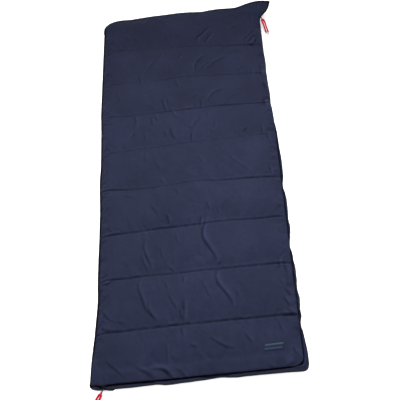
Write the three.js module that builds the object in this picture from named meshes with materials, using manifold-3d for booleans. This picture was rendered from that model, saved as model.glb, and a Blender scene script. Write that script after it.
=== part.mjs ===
// Rectangular two-layer sleeping bag, closed and lying flat: a quilted front half on top of a
// quilted back half, joined by piping along the left side and by an L-shaped zip with two
// sliders along the right side and the foot. Units are millimetres, +Z up.
// Origin: centre of the plan, on the ground under the bag. +X points to the zip side, +Y to the head.
import * as THREE from 'three';
import { mergeVertices } from 'three/addons/utils/BufferGeometryUtils.js';
import Module from 'manifold-3d';

const wasm = await Module();
wasm.setup();

// ---- driving dimensions -------------------------------------------------------------------
const FABRIC = 0.8; // shell and lining cloth
const GAP = 0.3; // space left between layers
const MID_Z = 28.5; // plane between the two halves

const HEAD_Y = 938; // where the mouth binding starts
const LEFT_X = -371.5; // both halves stop short of the side piping
const HEAD_CORNER_R = 58; // head corner on the sewn side
const HEAD_CORNER = { x: LEFT_X + HEAD_CORNER_R, y: HEAD_Y - HEAD_CORNER_R };

// zip-side wall, foot wall and the radius of the corner between them
const FRONT = { zipX: 371, footY: -945, cornerR: 32 };
const BACK = { zipX: 380, footY: -955, cornerR: 40 };
const FRONT_TOP = 56; // loft of the whole bag

// the facing sides of the halves draw apart near the zip, first by a ramp, then almost level
const RAMP_X = { start: 325, end: 345 };
const RAMP_Y = { start: -900, end: -920 };
const FRONT_UNDER = { face: 29, ramp: 36, edge: 37 };
const BACK_UPPER = { face: 28, ramp: 21, edge: 20 };
const HEM_X = 321; // inner edge of the hems along the side
const HEM_Y = -896; // inner edge of the hems along the foot

const SEAM_PITCH = 205;
const SEAM_Y = Array.from({ length: 8 }, (_, i) => 690 - SEAM_PITCH * i); // quilting rows
const SEAM_TOP = 34; // height of the front at a quilting row
const SEAM_UNDER = 18; // height of the back's underside at a quilting row

const ZIP_X = 368; // plane of the zip tapes along the side
const ZIP_Y = -942; // plane of the zip tapes along the foot
const ZIP_HEAD = 894; // head end of the zip tapes
const ZIP_LEFT = -352; // foot-left end of the zip tapes
const ZIP_R = 30; // radius of the zip round the foot-right corner

// the zip side narrows towards the foot and the foot edge runs slightly askew: straight-line
// shifts of the zip-side outline in X (by Y) and of the foot outline in Y (by X)
const SIDE_SKEW = { atY: 866, shift: 10, perMm: 32 / 1764 };
const FOOT_SKEW = { atX: -338, shift: -5, perMm: 18 / 656 };
const SIDE_SKEW_FULL_X = 318; // the side shift grows from nothing at x = 0 to full here
const FOOT_SKEW_START_Y = -830; // the foot shift starts here
const FOOT_SKEW_BLEND = 38; // and is full this much nearer the foot

// sweeps that are trimmed later run past the bag by these half lengths
const BEYOND_X = 420;
const BEYOND_Y = 1000;

// ---- solids -------------------------------------------------------------------------------
const { degToRad, clamp } = THREE.MathUtils;

function solid(geometry) {
  const bare = geometry.clone();
  bare.deleteAttribute('normal');
  bare.deleteAttribute('uv');
  const merged = mergeVertices(bare, 1e-4);
  return new wasm.Manifold(
    new wasm.Mesh({
      numProp: 3,
      vertProperties: new Float32Array(merged.attributes.position.array),
      triVerts: new Uint32Array(merged.index.array),
    }),
  );
}

function geometryOf(manifold) {
  const mesh = manifold.getMesh(); // carries positions only, three numbers per vertex
  const geometry = new THREE.BufferGeometry();
  const positions = new Float32Array(mesh.vertProperties);
  geometry.setAttribute('position', new THREE.BufferAttribute(positions, 3));
  geometry.setIndex(new THREE.BufferAttribute(new Uint32Array(mesh.triVerts), 1));
  geometry.computeVertexNormals();
  return geometry;
}

function shapeOf(points) {
  return new THREE.Shape(points.map(([x, y]) => new THREE.Vector2(x, y)));
}

function prism(points, depth) {
  return new THREE.ExtrudeGeometry(shapeOf(points), { depth, bevelEnabled: false, steps: 1 });
}

// a YZ outline swept along X, past both sides of the bag
function throughX(points) {
  const geometry = prism(points, 2 * BEYOND_X);
  geometry.applyMatrix4(
    new THREE.Matrix4().makeBasis(
      new THREE.Vector3(0, 1, 0),
      new THREE.Vector3(0, 0, 1),
      new THREE.Vector3(1, 0, 0),
    ),
  );
  geometry.translate(-BEYOND_X, 0, 0);
  return solid(geometry);
}

// an XZ outline swept along Y
function alongY(points, y0, y1) {
  const geometry = prism(points, y1 - y0);
  geometry.rotateX(Math.PI / 2);
  geometry.translate(0, y1, 0);
  return solid(geometry);
}

const throughY = (points) => alongY(points, -BEYOND_Y, BEYOND_Y);

// an XY outline swept along Z, as a plain geometry and as a solid
function layer(points, z0, z1) {
  const geometry = prism(points, z1 - z0);
  geometry.translate(0, 0, z0);
  return geometry;
}

const alongZ = (points, z0, z1) => solid(layer(points, z0, z1));

function block([x0, x1], [y0, y1], [z0, z1]) {
  const geometry = new THREE.BoxGeometry(x1 - x0, y1 - y0, z1 - z0);
  geometry.translate((x0 + x1) / 2, (y0 + y1) / 2, (z0 + z1) / 2);
  return solid(geometry);
}

// a cylinder standing along Z, centred on the origin
function rodZ(radius, length, segments) {
  const geometry = new THREE.CylinderGeometry(radius, radius, length, segments);
  geometry.rotateX(Math.PI / 2);
  return solid(geometry);
}

function arc(centreX, centreY, radius, fromDeg, toDeg, steps) {
  return Array.from({ length: steps + 1 }, (_, i) => {
    const angle = degToRad(fromDeg + ((toDeg - fromDeg) * i) / steps);
    return [centreX + radius * Math.cos(angle), centreY + radius * Math.sin(angle)];
  });
}

function oval(centreX, centreY, radiusX, radiusY, segments) {
  return Array.from({ length: segments }, (_, i) => {
    const angle = (2 * Math.PI * i) / segments;
    return [centreX + radiusX * Math.cos(angle), centreY + radiusY * Math.sin(angle)];
  });
}

// ---- skew ---------------------------------------------------------------------------------
const sideShift = (y) => SIDE_SKEW.shift + (y - SIDE_SKEW.atY) * SIDE_SKEW.perMm;
const footShift = (x) => FOOT_SKEW.shift + (x - FOOT_SKEW.atX) * FOOT_SKEW.perMm;

// moves the zip side and the foot of a square-cut piece onto their skewed lines
function skew(geometry) {
  const position = geometry.attributes.position;
  for (let i = 0; i < position.count; i++) {
    const x = position.getX(i);
    const y = position.getY(i);
    const sideShare = clamp(x / SIDE_SKEW_FULL_X, 0, 1);
    const footShare = clamp((FOOT_SKEW_START_Y - y) / FOOT_SKEW_BLEND, 0, 1);
    position.setX(i, x + sideShare * sideShift(y));
    position.setY(i, y + footShare * footShift(x));
  }
  geometry.computeVertexNormals();
  return geometry;
}

// ---- adding pieces ------------------------------------------------------------------------
const group = new THREE.Group();

const LOOKS = {
  shell: { color: 0x32364a, roughness: 0.85, metalness: 0 },
  lining: { color: 0x4a4e5e, roughness: 0.9, metalness: 0 },
  insulation: { color: 0xe9e7e1, roughness: 1, metalness: 0 },
  trim: { color: 0x17181f, roughness: 0.8, metalness: 0 },
  tape: { color: 0x1b1d26, roughness: 0.85, metalness: 0 },
  coil: { color: 0x101116, roughness: 0.45, metalness: 0 },
  metal: { color: 0x3a3c40, roughness: 0.35, metalness: 0.9 },
  cord: { color: 0xb0182a, roughness: 0.75, metalness: 0 },
  plastic: { color: 0xb9b3a6, roughness: 0.5, metalness: 0 },
  label: { color: 0x8f958f, roughness: 0.8, metalness: 0 },
  thread: { color: 0x23252f, roughness: 0.8, metalness: 0 },
};

function add(name, geometry, look) {
  const mesh = new THREE.Mesh(geometry, new THREE.MeshStandardMaterial(LOOKS[look]));
  mesh.name = name;
  group.add(mesh);
}

const addSkewed = (name, manifold, look) => add(name, skew(geometryOf(manifold)), look);

// ---- outlines shared by the halves ----------------------------------------------------------
const headCorner = (inset) =>
  arc(HEAD_CORNER.x, HEAD_CORNER.y, HEAD_CORNER_R - inset, 90, 180, 6);

// plan outline of a half, pulled in by the inset on every side
function planOf(half, inset) {
  const right = half.zipX - inset;
  const foot = half.footY + inset;
  const radius = half.cornerR - inset;
  return [
    [LEFT_X + inset, foot],
    ...arc(right - radius, foot + radius, radius, -90, 0, 6),
    [right, HEAD_Y - inset],
    ...headCorner(inset),
  ];
}

// the linings stop at the hems
const LINING_INSET = FABRIC + GAP;
const LINING_PLAN = [
  [LEFT_X + LINING_INSET, HEM_Y + GAP],
  [HEM_X - GAP, HEM_Y + GAP],
  [HEM_X - GAP, HEAD_Y - LINING_INSET],
  ...headCorner(LINING_INSET),
];

// one side of a quilting row in section: [distance from the seam, share of the loft]
const PUFF = [
  [8, 0.26],
  [25, 0.66],
  [58, 1],
];

// YZ line over all quilting rows, from head to foot
function quiltLine(seamZ, loftZ) {
  const puffs = (seamY, direction) =>
    PUFF.map(([away, share]) => [seamY + direction * away, seamZ + (loftZ - seamZ) * share]);
  return SEAM_Y.flatMap((seamY) => [
    ...puffs(seamY, 1).reverse(),
    [seamY, seamZ],
    ...puffs(seamY, -1),
  ]);
}

// a side section run along the bag, joined with a foot section run across it
const edgeBand = (sideXZ, footYZ) => throughY(sideXZ).add(throughX(footYZ));

// the zip's path in plan from head to foot-left; a positive offset is outward
function zipPath(offset, headY, leftX) {
  return [
    [ZIP_X + offset, headY],
    ...arc(ZIP_X - ZIP_R, ZIP_Y + ZIP_R, ZIP_R + offset, 0, -90, 8),
    [leftX, ZIP_Y - offset],
  ];
}

function zipStrip(thickness, headY, leftX, [z0, z1]) {
  const half = thickness / 2;
  const outline = [...zipPath(half, headY, leftX), ...zipPath(-half, headY, leftX).reverse()];
  return alongZ(outline, z0, z1);
}

const TAPE_THICKNESS = 0.8;
const TAPE_FRONT_Z = [31.6, 40];
const TAPE_BACK_Z = [17, 25.4];

const tape = (heights) => zipStrip(TAPE_THICKNESS, ZIP_HEAD, ZIP_LEFT, heights);

// room for a tape in a hem
const tapeSlot = (heights) =>
  zipStrip(TAPE_THICKNESS + 2 * GAP, ZIP_HEAD + GAP, ZIP_LEFT - GAP, heights);

// a negative facing inset lets the cavity break out through the half's facing side
const OPEN_FACING = -1.5;
const INSULATION_INSET = FABRIC + GAP;

// ---- front half -----------------------------------------------------------------------------
// inset: of the outer cloth line; underInset: of the underside
function frontYZ(inset, underInset) {
  const top = FRONT_TOP - inset;
  const foot = FRONT.footY + inset;
  return [
    [foot, FRONT_UNDER.edge + underInset],
    [RAMP_Y.end, FRONT_UNDER.ramp + underInset],
    [RAMP_Y.start, FRONT_UNDER.face + underInset],
    [HEAD_Y - inset, FRONT_UNDER.face + underInset],
    [HEAD_Y - inset, 39 - inset],
    [926, 46 - inset],
    [906, 52.5 - inset],
    [870, top],
    ...quiltLine(SEAM_TOP - inset, top),
    [-829, top],
    [-868, top],
    [-918, 54.5 - inset],
    [-937, 50 - inset],
    [foot, 43 - inset * 0.5],
  ];
}

function frontXZ(inset, underInset) {
  const top = FRONT_TOP - inset;
  return [
    [LEFT_X + inset, FRONT_UNDER.face + underInset],
    [RAMP_X.start, FRONT_UNDER.face + underInset],
    [RAMP_X.end, FRONT_UNDER.ramp + underInset],
    [FRONT.zipX - inset, FRONT_UNDER.edge + underInset],
    [FRONT.zipX - inset, 43 - inset * 0.5],
    [364, 50 - inset],
    [344, top],
    [-346, top],
    [-364, 50 - inset],
    [LEFT_X + inset, 43 - inset * 0.5],
  ];
}

function frontBody(inset, underInset) {
  return throughX(frontYZ(inset, underInset))
    .intersect(throughY(frontXZ(inset, underInset)))
    .intersect(alongZ(planOf(FRONT, inset), 20, 70));
}

// folded hem that holds the zip tape
function frontHem() {
  const { face, ramp, edge } = FRONT_UNDER;
  const ceiling = 60;
  const band = edgeBand(
    [
      [HEM_X, face],
      [RAMP_X.start, face],
      [RAMP_X.end, ramp],
      [FRONT.zipX, edge],
      [FRONT.zipX, 42],
      [343, 41],
      [HEM_X, 33.5],
    ],
    [
      [FRONT.footY, edge],
      [RAMP_Y.end, ramp],
      [RAMP_Y.start, face],
      [HEM_Y, face],
      [HEM_Y, 33.5],
      [-918, 41],
      [FRONT.footY, 42],
    ],
  );
  // the hem stays above whichever underside is higher
  const above = throughX([
    [FRONT.footY, edge],
    [RAMP_Y.end, ramp],
    [RAMP_Y.start, face],
    [HEAD_Y, face],
    [HEAD_Y, ceiling],
    [FRONT.footY, ceiling],
  ]).intersect(
    throughY([
      [LEFT_X, face],
      [RAMP_X.start, face],
      [RAMP_X.end, ramp],
      [FRONT.zipX, edge],
      [FRONT.zipX, ceiling],
      [LEFT_X, ceiling],
    ]),
  );
  return band.intersect(above).intersect(alongZ(planOf(FRONT, 0), 20, ceiling));
}

function frontShell() {
  return frontBody(0, 0)
    .subtract(frontBody(FABRIC, OPEN_FACING))
    .add(frontHem())
    .subtract(tapeSlot([28, TAPE_FRONT_Z[1] + GAP]));
}

function frontInsulation() {
  const hemClearance = edgeBand(
    [
      [319.5, 20],
      [319.5, 34.2],
      [342.7, 42.4],
      [380, 43.4],
      [380, 20],
    ],
    [
      [-960, 20],
      [-894.5, 20],
      [-894.5, 34.2],
      [-917.7, 42.4],
      [-960, 43.4],
    ],
  );
  return frontBody(INSULATION_INSET, INSULATION_INSET).subtract(hemClearance);
}

const frontLining = () => alongZ(LINING_PLAN, FRONT_UNDER.face, FRONT_UNDER.face + FABRIC);

// ---- back half ------------------------------------------------------------------------------
// inset: of the outer cloth line; topInset: of the upper side
function backYZ(inset, topInset) {
  return [
    [BACK.footY + inset, 9],
    [-951 + inset * 0.5, 3 + inset],
    [-936, inset],
    [-868, inset],
    [-829, inset],
    ...quiltLine(SEAM_UNDER + inset, inset).reverse(),
    [880, inset],
    [906, 3 + inset],
    [926, 9 + inset],
    [HEAD_Y - inset, 18 + inset],
    [HEAD_Y - inset, BACK_UPPER.face - topInset],
    [RAMP_Y.start, BACK_UPPER.face - topInset],
    [RAMP_Y.end, BACK_UPPER.ramp - topInset],
    [-946, BACK_UPPER.edge - topInset],
    [BACK.footY + inset, 15],
  ];
}

function backXZ(inset, topInset) {
  return [
    [LEFT_X + inset, 13],
    [-366, 6 + inset],
    [-350, inset],
    [352, inset],
    [374 - inset * 0.5, 3 + inset],
    [BACK.zipX - inset, 9],
    [BACK.zipX - inset, 14],
    [372, BACK_UPPER.edge - topInset],
    [RAMP_X.end, BACK_UPPER.ramp - topInset],
    [RAMP_X.start, BACK_UPPER.face - topInset],
    [LEFT_X + inset, BACK_UPPER.face - topInset],
  ];
}

function backBody(inset, topInset) {
  return throughX(backYZ(inset, topInset))
    .intersect(throughY(backXZ(inset, topInset)))
    .intersect(alongZ(planOf(BACK, inset), -10, 50));
}

// folded hem that holds the zip tape
function backHem() {
  const { face, ramp, edge } = BACK_UPPER;
  const band = edgeBand(
    [
      [HEM_X, face],
      [HEM_X, 23.5],
      [343, 15.5],
      [373, 14.5],
      [373, 19.6],
      [RAMP_X.end, ramp],
      [RAMP_X.start, face],
    ],
    [
      [-948, 14.5],
      [-918, 15.5],
      [HEM_Y, 23.5],
      [HEM_Y, face],
      [RAMP_Y.start, face],
      [RAMP_Y.end, ramp],
      [-948, 19.6],
    ],
  );
  // the hem stays below whichever upper side is lower
  const below = throughX([
    [BACK.footY, 19.5],
    [-946, edge],
    [RAMP_Y.end, ramp],
    [RAMP_Y.start, face],
    [HEAD_Y, face],
    [HEAD_Y, 0],
    [BACK.footY, 0],
  ]).intersect(
    throughY([
      [LEFT_X, face],
      [RAMP_X.start, face],
      [RAMP_X.end, ramp],
      [372, edge],
      [BACK.zipX, 19.5],
      [BACK.zipX, 0],
      [LEFT_X, 0],
    ]),
  );
  return band.intersect(below).intersect(alongZ(planOf(BACK, 0), 0, 40));
}

// the outermost strips of the back half: [beyond zipX on the zip side, beyond footY at the foot]
function rollZones(zipX, footY) {
  const heights = [-5, 40];
  return [
    block([zipX, 390], [-BEYOND_Y, BEYOND_Y], heights),
    block([-400, 400], [-BEYOND_Y, footY], heights),
  ];
}

// the cloth turns over the zip-side and foot rolls and runs back under the hem
function backRollTop() {
  const [side, foot] = rollZones(372, -947);
  return backBody(0, 0).subtract(backBody(FABRIC, FABRIC)).intersect(side.add(foot));
}

function backShell() {
  return backBody(0, 0)
    .subtract(backBody(FABRIC, OPEN_FACING))
    .add(backHem())
    .add(backRollTop())
    .subtract(tapeSlot([TAPE_BACK_Z[0] - GAP, 29]));
}

function backInsulation() {
  const hemClearance = edgeBand(
    [
      [319.5, 40],
      [319.5, 22.8],
      [342.7, 14.1],
      [374.3, 13.2],
      [374.3, 40],
    ],
    [
      [-949.3, 40],
      [-949.3, 13.2],
      [-917.7, 14.1],
      [-894.5, 22.8],
      [-894.5, 40],
    ],
  );
  const [side, foot] = rollZones(370, -945);
  return backBody(INSULATION_INSET, INSULATION_INSET)
    .subtract(hemClearance)
    .subtract(side)
    .subtract(foot);
}

const backLining = () => alongZ(LINING_PLAN, BACK_UPPER.face - FABRIC, BACK_UPPER.face);

addSkewed('front_shell', frontShell(), 'shell');
addSkewed('front_insulation', frontInsulation(), 'insulation');
addSkewed('front_lining', frontLining(), 'lining');
addSkewed('back_shell', backShell(), 'shell');
addSkewed('back_insulation', backInsulation(), 'insulation');
addSkewed('back_lining', backLining(), 'lining');

// ---- side piping and mouth binding ------------------------------------------------------------
const PIPING = { x: -375, radius: 3.1, segments: 14 };

function sidePiping() {
  const { x, radius, segments } = PIPING;
  const length = HEAD_CORNER.y - FRONT.footY;
  const geometry = new THREE.CylinderGeometry(radius, radius, length, segments);
  geometry.translate(x, (HEAD_CORNER.y + FRONT.footY) / 2, MID_Z);
  return geometry;
}

// a strip along the head edge that follows the plan outline round the head corner
function mouthBinding(rightX, z0, z1) {
  const { x, y } = HEAD_CORNER;
  const inner = HEAD_CORNER_R + GAP;
  const outer = HEAD_CORNER_R + 4;
  const outline = [
    [rightX, y + inner],
    [rightX, y + outer],
    ...arc(x, y, outer, 90, 152, 7),
    ...arc(x, y, inner, 152, 90, 7),
  ];
  return alongZ(outline, z0, z1);
}

add('side_piping', sidePiping(), 'trim');
addSkewed('mouth_binding_front', mouthBinding(366, FRONT_UNDER.face + GAP, 39), 'trim');
addSkewed('mouth_binding_back', mouthBinding(372, 18, BACK_UPPER.face - GAP), 'trim');

// ---- zip --------------------------------------------------------------------------------------
const COIL_WIDTH = 2;
const COIL_HEAD = ZIP_HEAD - 7;
const COIL_LEFT = ZIP_LEFT + 1;
const STOP = { length: 4, halfWidth: 2.2, tapeClearance: 0.15 };

const coil = (heights) => zipStrip(COIL_WIDTH, COIL_HEAD, COIL_LEFT, heights);

// a block at the head end of a coil, slotted for the tape
function topStop(heights, slotHeights) {
  const start = COIL_HEAD + GAP;
  const end = start + STOP.length;
  const slotHalf = TAPE_THICKNESS / 2 + STOP.tapeClearance;
  const body = block([ZIP_X - STOP.halfWidth, ZIP_X + STOP.halfWidth], [start, end], heights);
  return body.subtract(
    block([ZIP_X - slotHalf, ZIP_X + slotHalf], [start - 1, end + 1], slotHeights),
  );
}

// foot-left end of the zip: a box on the back tape and the pin of the front tape standing in it
const acrossFootZip = (half) => [ZIP_Y - half, ZIP_Y + half];

const retainerBox = () =>
  block([-364, -353], acrossFootZip(3.2), [22, 31]).subtract(
    block([-370, -350], acrossFootZip(1.3), [24.5, 35]),
  );

const insertionPin = () => block([-362, -352.3], acrossFootZip(0.9), [25.5, 36]);

addSkewed('zip_tape_front', tape(TAPE_FRONT_Z), 'tape');
addSkewed('zip_tape_back', tape(TAPE_BACK_Z), 'tape');
addSkewed('zip_coil_front', coil([29.4, 31.3]), 'coil');
addSkewed('zip_coil_back', coil([25.7, 27.6]), 'coil');
addSkewed('zip_top_stop_front', topStop([29.4, 34.5], [31.4, 36]), 'metal');
addSkewed('zip_top_stop_back', topStop([22.5, 27.6], [21, 25.6]), 'metal');
addSkewed('zip_retainer_box', retainerBox(), 'metal');
addSkewed('zip_insertion_pin', insertionPin(), 'metal');

// ---- draught tube behind the side zip -----------------------------------------------------------
const TUBE = { x: 348.5, radiusX: 11.5, radiusZ: 5.4, footY: -880, headY: 900 };
const TUBE_FILL = { radiusX: 10.4, radiusZ: 4.2, endGap: 1 };

const tubeOval = (radiusX, radiusZ) => oval(TUBE.x, MID_Z, radiusX, radiusZ, 20);

function draughtTubeShell() {
  const { radiusX, radiusZ, footY, headY } = TUBE;
  return alongY(tubeOval(radiusX, radiusZ), footY, headY).subtract(
    throughY(tubeOval(radiusX - FABRIC, radiusZ - FABRIC)),
  );
}

function draughtTubeFill() {
  const { radiusX, radiusZ, endGap } = TUBE_FILL;
  return alongY(tubeOval(radiusX, radiusZ), TUBE.footY + endGap, TUBE.headY - endGap);
}

addSkewed('draught_tube_shell', draughtTubeShell(), 'lining');
addSkewed('draught_tube_fill', draughtTubeFill(), 'insulation');

// ---- corner flap: the free mouth corner of the front half beyond the zip --------------------------
const FLAP = {
  x: 386,
  z: 42,
  footY: 896,
  headY: 944,
  tip: 50, // reach outward from x
  rise: 12, // degrees, tip upward
  halfThickness: 2.35,
};

function flapLayer(z0, z1, inset) {
  const { footY, headY, tip } = FLAP;
  const outline = [
    [1 + inset, footY + inset * 2.2],
    [tip - 3 - inset * 2.2, headY - 6 - inset],
    [tip - inset * 2.4, headY - 2 - inset],
    [tip - 4 - inset * 2, headY - inset],
    [1 + inset, headY - inset],
  ];
  const geometry = layer(outline, z0, z1);
  geometry.rotateY(-degToRad(FLAP.rise));
  geometry.translate(FLAP.x, 0, FLAP.z);
  return geometry;
}

function addCornerFlap() {
  const outer = FLAP.halfThickness;
  const inner = outer - FABRIC;
  const fill = inner - GAP;
  add('corner_flap_shell', flapLayer(inner, outer, 0), 'shell');
  add('corner_flap_insulation', flapLayer(-fill, fill, 1), 'insulation');
  add('corner_flap_lining', flapLayer(-outer, -inner, 0), 'lining');
}

addCornerFlap();

// ---- label patch on top of the front half, near the foot-right corner -----------------------------
const LABEL = { x: 258, y: -850, length: 66, width: 26, thickness: 0.6, turn: -1.5 };

function labelPatch() {
  const { x, y, length, width, thickness, turn } = LABEL;
  const geometry = new THREE.BoxGeometry(length, width, thickness);
  geometry.rotateZ(degToRad(turn));
  geometry.translate(x, y, FRONT_TOP + GAP + thickness / 2);
  return geometry;
}

add('label_patch', labelPatch(), 'label');

// ---- quilting threads -----------------------------------------------------------------------------
// offset: from the thread's centre line to the cloth at a quilting row
const STITCH = { radius: 0.5, offset: 1.1, frontLeftX: -368, backLeftX: -366, rightX: 320 };

function quiltStitch(leftX, y, z) {
  const { radius, rightX } = STITCH;
  const geometry = new THREE.CylinderGeometry(radius, radius, rightX - leftX, 8);
  geometry.rotateZ(Math.PI / 2);
  geometry.translate((leftX + rightX) / 2, y, z);
  return skew(geometry);
}

SEAM_Y.forEach((y, i) => {
  const front = quiltStitch(STITCH.frontLeftX, y, SEAM_TOP + STITCH.offset);
  const back = quiltStitch(STITCH.backLeftX, y, SEAM_UNDER - STITCH.offset);
  add(`front_quilt_stitch_${i + 1}`, front, 'thread');
  add(`back_quilt_stitch_${i + 1}`, back, 'thread');
});

// ---- slider: local x along its travel, y outward from the bag, z up -------------------------------
// reach: from the zip plane to the inside of a plate
const SLIDER = { length: 17, width: 13, plate: 2, reach: 3.2 };
const SLIDER_FACE = SLIDER.reach + SLIDER.plate;
const PLATE_OVERLAP = 0.4; // how far joined parts run into a plate
const FLANGE = { height: 1.6, inner: 1.35 }; // lips along the plates' upper and lower edges

// XZ outline of a plate, with larger corner cuts at the +x end
function sliderOutline() {
  const end = SLIDER.length / 2;
  const side = SLIDER.width / 2;
  return [
    [-end, -side + 1.5],
    [-end + 1.5, -side],
    [end - 5, -side],
    [end - 1.5, -side + 2.5],
    [end, -side + 5],
    [end, side - 5],
    [end - 1.5, side - 2.5],
    [end - 5, side],
    [-end + 1.5, side],
    [-end, side - 1.5],
  ];
}

// XY outline of the crown that the pull tab turns in
const CROWN = [
  [-6.4, SLIDER_FACE - PLATE_OVERLAP],
  [-5.4, SLIDER_FACE + 3.9],
  [5.4, SLIDER_FACE + 3.9],
  [6.4, SLIDER_FACE - PLATE_OVERLAP],
  [4.6, SLIDER_FACE - PLATE_OVERLAP],
  [4.0, SLIDER_FACE + 2.7],
  [-4.0, SLIDER_FACE + 2.7],
  [-4.6, SLIDER_FACE - PLATE_OVERLAP],
];

function sliderBody() {
  const { reach } = SLIDER;
  const end = SLIDER.length / 2;
  const side = SLIDER.width / 2;
  const overlap = reach + PLATE_OVERLAP;
  let body = alongY(sliderOutline(), reach, SLIDER_FACE).add(
    alongY(sliderOutline(), -SLIDER_FACE, -reach),
  );
  for (const across of [[-overlap, -FLANGE.inner], [FLANGE.inner, overlap]])
    for (const bottom of [-side, side - FLANGE.height])
      body = body.add(block([-end + 1.6, end - 5.2], across, [bottom, bottom + FLANGE.height]));
  // post between the plates, running between the two rows of coil
  body = body.add(block([end - 3.4, end - 0.4], [-overlap, overlap], [-0.55, 0.55]));
  return body.add(alongZ(CROWN, -1.5, 1.5));
}

// ---- pull tab: flat, along local +x from its bar at the origin; z across it ------------------------
const TAB = { length: 25, halfThickness: 0.8, barRadius: 0.9, barLength: 9 };
const TAB_OUTWARD = SLIDER_FACE + 1.35; // from the zip plane to the tab's bar

// XZ outline of the tab's plate
const TAB_PLATE = [
  [9.5, -4.5],
  [TAB.length, -4.0],
  [TAB.length + 1.2, -3.0],
  [TAB.length + 1.2, 3.0],
  [TAB.length, 4.0],
  [9.5, 4.5],
];

function pullTab() {
  const { length, halfThickness, barRadius, barLength } = TAB;
  const thickness = [-halfThickness, halfThickness];
  let tab = rodZ(barRadius, barLength, 12);
  for (const armZ of [-3.25, 3.25])
    tab = tab.add(block([-barRadius, 10.5], thickness, [armZ - 1.25, armZ + 1.25]));
  return tab
    .add(alongY(TAB_PLATE, -halfThickness, halfThickness))
    .subtract(block([length - 7.2, length - 0.9], [-2, 2], [-2.6, 2.6]));
}

// ---- pull cord: a loop hanging on the tab's end bar, which stands at the local origin --------------
const CORD_RADIUS = 1.75;
const CORD_START = 6;
const CORD_LENGTH = 78;
const CORD_SAG = [0, -0.4, -1.2, -2.6, -6.5, -13, -18.5, -20.6, -21.2]; // z at even steps along x
const CORD_END_Z = CORD_SAG[CORD_SAG.length - 1];

// XY outline of the plastic end piece
const CORD_END = [
  [CORD_LENGTH + 7.4, -5.5],
  [CORD_LENGTH + 20, -4.5],
  [CORD_LENGTH + 22, -2.5],
  [CORD_LENGTH + 22, 2.5],
  [CORD_LENGTH + 20, 4.5],
  [CORD_LENGTH + 7.4, 5.5],
];

// side: -1 or 1, the strand's side of the cord's centre line
function cordStrand(side) {
  const points = CORD_SAG.map((z, i) => {
    const share = i / (CORD_SAG.length - 1);
    const spread = 3.2 + 1.3 * Math.min(1, share * 4);
    return new THREE.Vector3(CORD_START + share * CORD_LENGTH, side * spread, z);
  });
  const section = shapeOf(oval(0, 0, CORD_RADIUS, CORD_RADIUS, 8));
  return solid(
    new THREE.ExtrudeGeometry(section, {
      extrudePath: new THREE.CatmullRomCurve3(points),
      steps: 14,
      bevelEnabled: false,
    }),
  );
}

function pullCord() {
  const ring = rodZ(4.4, 4.2, 16).subtract(rodZ(1.75, 10, 12));
  const startBar = block([3, 8.5], [-5.2, 5.2], [-1.9, 1.9]);
  const endBar = block(
    [CORD_LENGTH + 3, CORD_LENGTH + 7],
    [-6.4, 6.4],
    [CORD_END_Z - 2, CORD_END_Z + 2],
  );
  return ring.add(startBar).add(cordStrand(-1)).add(cordStrand(1)).add(endBar);
}

const pullCordEnd = () => alongZ(CORD_END, CORD_END_Z - 3, CORD_END_Z + 3);

// ---- sliders in place -------------------------------------------------------------------------------
const UP = new THREE.Vector3(0, 0, 1);

// maps local x and y to the given directions, with z kept upright
function place(manifold, xDirection, yDirection, origin) {
  const geometry = geometryOf(manifold).toNonIndexed();
  geometry.applyMatrix4(new THREE.Matrix4().makeBasis(xDirection, yDirection, UP));
  geometry.translate(origin.x, origin.y, origin.z);
  if (xDirection.clone().cross(yDirection).dot(UP) < 0) turnTriangles(geometry);
  return geometry;
}

// swaps two corners of every triangle, so that a mirrored piece faces outward again
function turnTriangles(geometry) {
  const position = geometry.attributes.position;
  for (let i = 0; i < position.count; i += 3)
    for (let k = 0; k < 3; k++) {
      const second = position.getComponent(i + 1, k);
      position.setComponent(i + 1, k, position.getComponent(i + 2, k));
      position.setComponent(i + 2, k, second);
    }
}

const SIDE_SLIDER_Y = 872;
const FOOT_SLIDER_X = -326;

// tabAngle: degrees from the travel direction towards the outward direction
const SLIDERS = [
  {
    name: 'side',
    travel: new THREE.Vector3(-SIDE_SKEW.perMm, -1, 0).normalize(),
    outward: new THREE.Vector3(1, -SIDE_SKEW.perMm, 0).normalize(),
    origin: new THREE.Vector3(ZIP_X + sideShift(SIDE_SLIDER_Y), SIDE_SLIDER_Y, MID_Z),
    tabAngle: 12,
  },
  {
    name: 'foot',
    travel: new THREE.Vector3(1, FOOT_SKEW.perMm, 0).normalize(),
    outward: new THREE.Vector3(FOOT_SKEW.perMm, -1, 0).normalize(),
    origin: new THREE.Vector3(FOOT_SLIDER_X, ZIP_Y + footShift(FOOT_SLIDER_X), MID_Z),
    tabAngle: 180 - 62,
  },
];

for (const { name, travel, outward, origin, tabAngle } of SLIDERS) {
  const angle = degToRad(tabAngle);
  const tabDirection = travel
    .clone()
    .multiplyScalar(Math.cos(angle))
    .addScaledVector(outward, Math.sin(angle));
  const across = UP.clone().cross(tabDirection);
  const tabBar = origin.clone().addScaledVector(outward, TAB_OUTWARD);
  const endBar = tabBar.clone().addScaledVector(tabDirection, TAB.length);
  const cordEnd = place(pullCordEnd(), tabDirection, across, endBar);
  add(`${name}_slider_body`, place(sliderBody(), travel, outward, origin), 'metal');
  add(`${name}_pull_tab`, place(pullTab(), tabDirection, across, tabBar), 'metal');
  add(`${name}_pull_cord`, place(pullCord(), tabDirection, across, endBar), 'cord');
  add(`${name}_pull_cord_end`, cordEnd, 'plastic');
}

export default group;
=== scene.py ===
"""A quilted bag with a zip, lying flat with its back half on the floor.

X runs across it: the sewn side is at -X, the zip side at +X. Y runs from the foot (-Y)
to the mouth (+Y), and Z is up. Shapes are worked out in millimetres and turned into metres
when a mesh is made. Grids are indexed [row, column, xyz].
"""

import math

import bpy
import numpy as np
from mathutils import Matrix, Vector
from mathutils.bvhtree import BVHTree

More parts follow.
